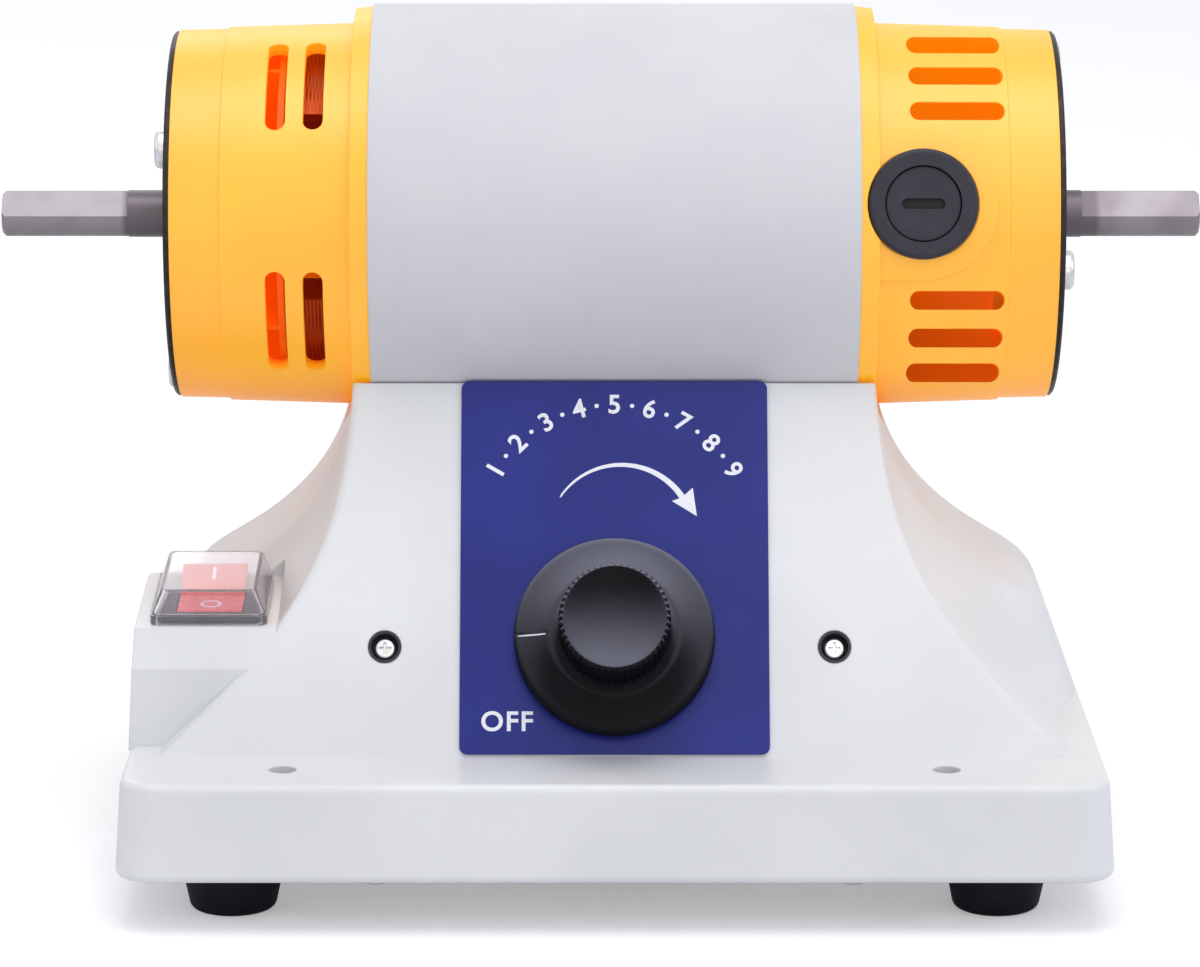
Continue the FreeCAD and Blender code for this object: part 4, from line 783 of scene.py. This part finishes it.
buildKnob()
print("knob made")


springs = {"front": 2.5, "rear": 2.5}  # mm that each brush spring would give when its brush is pushed back; the copies made here do not give


def buildSprings():
    for side, travel in springs.items():
        coil = nodes[side + "_brush_spring"]
        mesh = coil.data.copy()
        mesh.transform(coil.matrix_world)
        spring = addPiece(side + "Spring", mesh, "machine", slotOf[side + "_brush_spring"])
        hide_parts(side + "_brush_spring")
        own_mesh(spring)


buildSprings()
print("brush springs made")


# printed marks on the blue panel, local x right, y up along the panel, from the knob's middle
panelMarks = {
    "lift": 0.84, "thick": 0.05, "bold": 0.02, "curveSteps": 6,
    "count": 9, "arcUp": 25.8, "arcR": 32.0, "arcFrom": -59.5, "arcTo": 59.5, "height": 4.9,
    "dotR": 0.55, "dotUp": 2.3, "dotSides": 20,
    "off": (-26.5, -23.2), "offHeight": 5.1, "offSpacing": 1.12,
    "tail": (-13.5, 36.3), "top": (3.6, 44.5), "neck": (16.8, 36.4), "tip": (20.5, 31.4),
    "barbs": ((19.5, 38.7), (14.3, 35.3)), "tailW": 0.35, "neckW": 1.5, "swell": 0.8, "arrowSteps": 36,
}


def letters(text, height, spacing=1.0):  # thin outline of the words, centred, standing on y = 0
    curve = bpy.data.curves.new(text, "FONT")
    curve.body = text
    curve.align_x = "CENTER"
    curve.offset = panelMarks["bold"]
    curve.space_character = spacing
    curve.resolution_u = panelMarks["curveSteps"]
    curve.extrude = 0.5  # one thick, until it is scaled below
    holder = bpy.data.objects.new("words", curve)
    bpy.context.scene.collection.objects.link(holder)
    bpy.context.view_layer.update()
    graph = bpy.context.evaluated_depsgraph_get()
    mesh = bpy.data.meshes.new_from_object(holder.evaluated_get(graph))
    bpy.data.objects.remove(holder)
    low = min(v.co.y for v in mesh.vertices)
    high = max(v.co.y for v in mesh.vertices)
    size = height / (high - low)
    scale = Matrix.Diagonal((size, size, panelMarks["thick"], 1))
    mesh.transform(scale @ Matrix.Translation((0, -low, 0)))
    return mesh


def numeral(value, height):  # the nine is the six turned over
    if value != 9:
        return letters(str(value), height)
    digit = letters("6", height)
    digit.transform(Matrix.Translation((0, height, 0)) @ Matrix.Rotation(math.pi, 4, "Z"))
    return digit


def joined(meshes):
    edit = bmesh.new()
    for mesh in meshes:
        edit.from_mesh(mesh)
    whole = bpy.data.meshes.new("joined")
    edit.to_mesh(whole)
    edit.free()
    return shade(whole, smooth=False)


def numberArc():  # numerals on an arc with dots between them
    m = panelMarks
    made = []
    step = (m["arcTo"] - m["arcFrom"]) / (m["count"] - 1)
    dotEnds = [Vector((0, m["arcR"] + m["dotUp"], z)) for z in (-m["thick"] / 2, m["thick"] / 2)]
    for k in range(m["count"]):
        a = math.radians(m["arcFrom"] + step * k)
        turn = Matrix.Translation((0, m["arcUp"], 0)) @ Matrix.Rotation(-a, 4, "Z")
        digit = numeral(k + 1, m["height"])
        digit.transform(turn @ Matrix.Translation((0, m["arcR"], 0)))
        made.append(digit)
        if k + 1 < m["count"]:
            dot = pillar(m["dotR"], *dotEnds, count=m["dotSides"])
            dot.transform(turn @ Matrix.Rotation(-math.radians(step / 2), 4, "Z"))
            made.append(dot)
    return made


def circleThrough(a, b, c):
    (ax, ay), (bx, by), (cx, cy) = a, b, c
    d = 2 * (ax * (by - cy) + bx * (cy - ay) + cx * (ay - by))
    a2, b2, c2 = ax * ax + ay * ay, bx * bx + by * by, cx * cx + cy * cy
    x = (a2 * (by - cy) + b2 * (cy - ay) + c2 * (ay - by)) / d
    y = (a2 * (cx - bx) + b2 * (ax - cx) + c2 * (bx - ax)) / d
    return x, y, math.hypot(ax - x, ay - y)


def arrow():  # arc that swells towards a barbed head
    m = panelMarks
    x, y, r = circleThrough(m["tail"], m["top"], m["neck"])
    a0 = math.atan2(m["tail"][1] - y, m["tail"][0] - x)
    a1 = math.atan2(m["neck"][1] - y, m["neck"][0] - x)
    steps = m["arrowSteps"]
    outer, inner = [], []
    for k in range(steps + 1):
        t = k / steps
        a = a0 + (a1 - a0) * t
        half = (m["tailW"] + (m["neckW"] - m["tailW"]) * t ** m["swell"]) / 2
        outer.append((x + (r + half) * math.cos(a), y + (r + half) * math.sin(a)))
        inner.append((x + (r - half) * math.cos(a), y + (r - half) * math.sin(a)))
    z = m["thick"] / 2
    points, faces = [], []
    for p, q in zip(outer, inner):
        points += [(*p, -z), (*p, z), (*q, -z), (*q, z)]
    for n in range(0, 4 * steps, 4):
        faces += [(n, n + 4, n + 5, n + 1), (n + 1, n + 5, n + 7, n + 3)]
        faces += [(n + 3, n + 7, n + 6, n + 2), (n + 2, n + 6, n + 4, n)]
    faces += [(0, 1, 3, 2), tuple(len(points) - k for k in (4, 2, 1, 3))]
    head = [m["barbs"][0], m["tip"], m["barbs"][1], inner[-1], outer[-1]]
    first = len(points)
    points += [(*p, -z) for p in head] + [(*p, z) for p in head]
    n = len(head)
    faces += [tuple(first + k for k in range(n)), tuple(first + n + k for k in range(n))[::-1]]
    faces += [(first + k, first + (k + 1) % n, first + n + (k + 1) % n, first + n + k) for k in range(n)]
    return meshFrom(points, faces)


def buildPanelMarks():
    m = panelMarks
    onPanel = onFace @ Matrix.Translation((0, 0, m["lift"]))
    off = letters("OFF", m["offHeight"], m["offSpacing"])
    off.transform(Matrix.Translation((*m["off"], 0)))
    groups = {"panelNumbers": joined(numberArc()), "panelArrow": arrow(), "panelOff": off}
    for name, mesh in groups.items():
        mesh.transform(onPanel)
        addPiece(name, mesh, "machine", "label_blue", "print_white")


buildPanelMarks()
print("panel marks made")


# thin ring and bar laid onto the rocker's two slopes, y up the deck from the rocker's axis
rocker = {
    "slope": 6.0, "lift": 0.03, "thick": 0.03,
    "drop": 30.0,  # height from which they are laid down
    "ringOut": 2.7, "ringIn": 1.95, "ringAt": -7.2, "ringSides": 40,
    "barW": 0.8, "barL": 4.6, "barAt": 6.6, "barSteps": 6,
}


def rockerRing():
    m = rocker
    count = m["ringSides"]
    outer, inner, thick = m["ringOut"], m["ringIn"], m["thick"]
    corners = ((outer, -thick), (outer, thick), (inner, thick), (inner, -thick))
    points, faces = [], []
    for c in range(count):
        a = math.tau * c / count
        points += [(r * math.cos(a), m["ringAt"] + r * math.sin(a), z) for r, z in corners]
        n, e = 4 * c, 4 * ((c + 1) % count)
        faces += [(n + k, e + k, e + (k + 1) % 4, n + (k + 1) % 4) for k in range(4)]
    return meshFrom(points, faces)


def rockerBar():
    m = rocker
    steps, thick = m["barSteps"], m["thick"]
    points, faces = [], []
    for k in range(steps + 1):
        y = m["barAt"] - m["barL"] / 2 + m["barL"] * k / steps
        for x, z in ((-1, -thick), (-1, thick), (1, thick), (1, -thick)):
            points.append((x * m["barW"] / 2, y, z))
    for k in range(steps):
        n = 4 * k
        faces += [(n + j, n + 4 + j, n + 4 + (j + 1) % 4, n + (j + 1) % 4) for j in range(4)]
    last = 4 * steps
    faces += [(0, 1, 2, 3), (last, last + 3, last + 2, last + 1)]
    return meshFrom(points, faces)


def layOn(mesh, node, matrix):  # drops every point of a flat mesh onto the node, keeping its thickness
    skin = nodes[node].data
    faces = [face.vertices for face in skin.polygons]
    ground = BVHTree.FromPolygons([v.co for v in skin.vertices], faces)
    down = -(matrix.to_3x3() @ Vector((0, 0, 1))).normalized()
    for v in mesh.vertices:
        start = matrix @ Vector((v.co.x, v.co.y, rocker["drop"]))
        hit = ground.ray_cast(start, down)[0]
        v.co = hit - down * (v.co.z + rocker["lift"]) * mm


def buildRockerMarks():
    slope = math.radians(rocker["slope"])
    up = Vector((0, -math.sin(slope), math.cos(slope)))
    onDeck = axesAt(rockerAt, right, up.cross(right), up) @ Matrix.Scale(mm, 4)
    for name, mesh in (("rockerRing", rockerRing()), ("rockerBar", rockerBar())):
        layOn(mesh, "switch_rocker", onDeck)
        addPiece(name, mesh, "rocker", "rocker_red", "print_white")


buildRockerMarks()
print("rocker marks made")


stage = {
    "floor": (236, 236, 238), "patch": (232, 232, 235), "patchSize": 400,
    "half": 40.0,  # half the floor's width, in metres
    "lift": 0.32,  # light of its own where the floor is seen
    "mirrored": 0.2,  # share of that light that metal shows
    "sky": (238, 239, 241), "skyLight": 0.7,
    "seenBy": ("Is Camera Ray", "Is Glossy Ray", "Is Transmission Ray"),
}


def seenRays(f):  # 1 for rays that show the background: in the picture, in metal and in glass
    outs = f.node("ShaderNodeLightPath").socket.node.outputs
    return [Wire(f, outs[name]) for name in stage["seenBy"]]


def buildFloor():
    half = stage["half"]
    corners = [(-half, -half, 0), (half, -half, 0), (half, half, 0), (-half, half, 0)]
    floor = meshFrom(corners, [(0, 1, 2, 3)], smooth=True)
    ground = bpy.data.objects.new("floor", floor)
    bpy.context.scene.collection.objects.link(ground)
    f = Finish("floor")
    straight, mirrored, bent = seenRays(f)
    seen = straight + bent + stage["mirrored"] * mirrored
    colour = f.tones(f.clouds(stage["patchSize"]), stage["floor"], stage["patch"])
    surface = f.node("ShaderNodeBsdfDiffuse", sockets={"Color": colour})
    lift = stage["lift"] * seen.atMost(1.0)
    glow = f.node("ShaderNodeEmission", sockets={"Color": (1, 1, 1, 1), "Strength": lift})
    both = f.node("ShaderNodeAddShader", sockets={0: surface, 1: glow})
    f.node("ShaderNodeOutputMaterial", sockets={"Surface": both})
    floor.materials.append(f.material)


def buildWorld():
    world = bpy.data.worlds.new("studio")
    bpy.context.scene.world = world
    f = Finish("studio", world, "Generated")
    straight, mirrored, bent = seenRays(f)
    share = (straight + mirrored + bent).atMost(1.0)
    light = stage["skyLight"] + (1 - stage["skyLight"]) * share
    colour = f.mix(share, tone(*stage["sky"]), (1, 1, 1, 1))
    air = f.node("ShaderNodeBackground", sockets={"Color": colour, "Strength": light})
    f.node("ShaderNodeOutputWorld", sockets={"Surface": air})


lamps = {  # place, aim, size, power and colour of each soft lamp, in metres and watts
    "overhead": ((0.05, -0.3, 1.3), (0.03, -0.1, 0.1), 1.0, 6.0, (255, 255, 255)),
    "key": ((0.4, -1.9, 1.6), (0, 0, 0.08), 0.8, 4.0, (255, 255, 255)),
    "low": ((0.2, -2.3, 0.4), (0, 0, 0.12), 1.2, 2.4, (255, 255, 255)),
    "left": ((-2.0, -0.7, 1.1), (0, 0, 0.1), 1.2, 2.2, (196, 216, 255)),
    "right": ((2.0, -0.6, 1.1), (0, 0, 0.1), 1.2, 7.5, (224, 236, 255)),
    "back": ((-0.6, 1.8, 1.4), (0, 0, 0.12), 1.2, 4.5, (255, 255, 255)),
}


def buildLamps():
    for name, (place, aim, size, power, colour) in lamps.items():
        light = bpy.data.lights.new(name, "AREA")
        light.shape = "DISK"
        light.size = size
        light.energy = power
        light.color = tone(*colour)[:3]
        lamp = bpy.data.objects.new(name, light)
        bpy.context.scene.collection.objects.link(lamp)
        lamp.location = place
        lamp.rotation_euler = (Vector(aim) - Vector(place)).to_track_quat("-Z", "Y").to_euler()


viewer = {"place": (-0.19, -1326.17, 372.37), "down": 12.0, "lens": 158.07, "sensor": 36.0,
          "clip": (0.05, 60.0)}  # down in degrees, clip in metres


def buildCamera():
    camera = bpy.data.cameras.new("camera")
    camera.lens = viewer["lens"]
    camera.sensor_width = viewer["sensor"]
    camera.clip_start, camera.clip_end = viewer["clip"]
    holder = bpy.data.objects.new("camera", camera)
    bpy.context.scene.collection.objects.link(holder)
    holder.location = Vector(viewer["place"]) * mm
    holder.rotation_euler = (math.radians(90 - viewer["down"]), 0, 0)
    bpy.context.scene.camera = holder


buildFloor()
buildWorld()
buildLamps()
buildCamera()
bpy.context.scene.view_settings.view_transform = "Standard"
print("stage made")
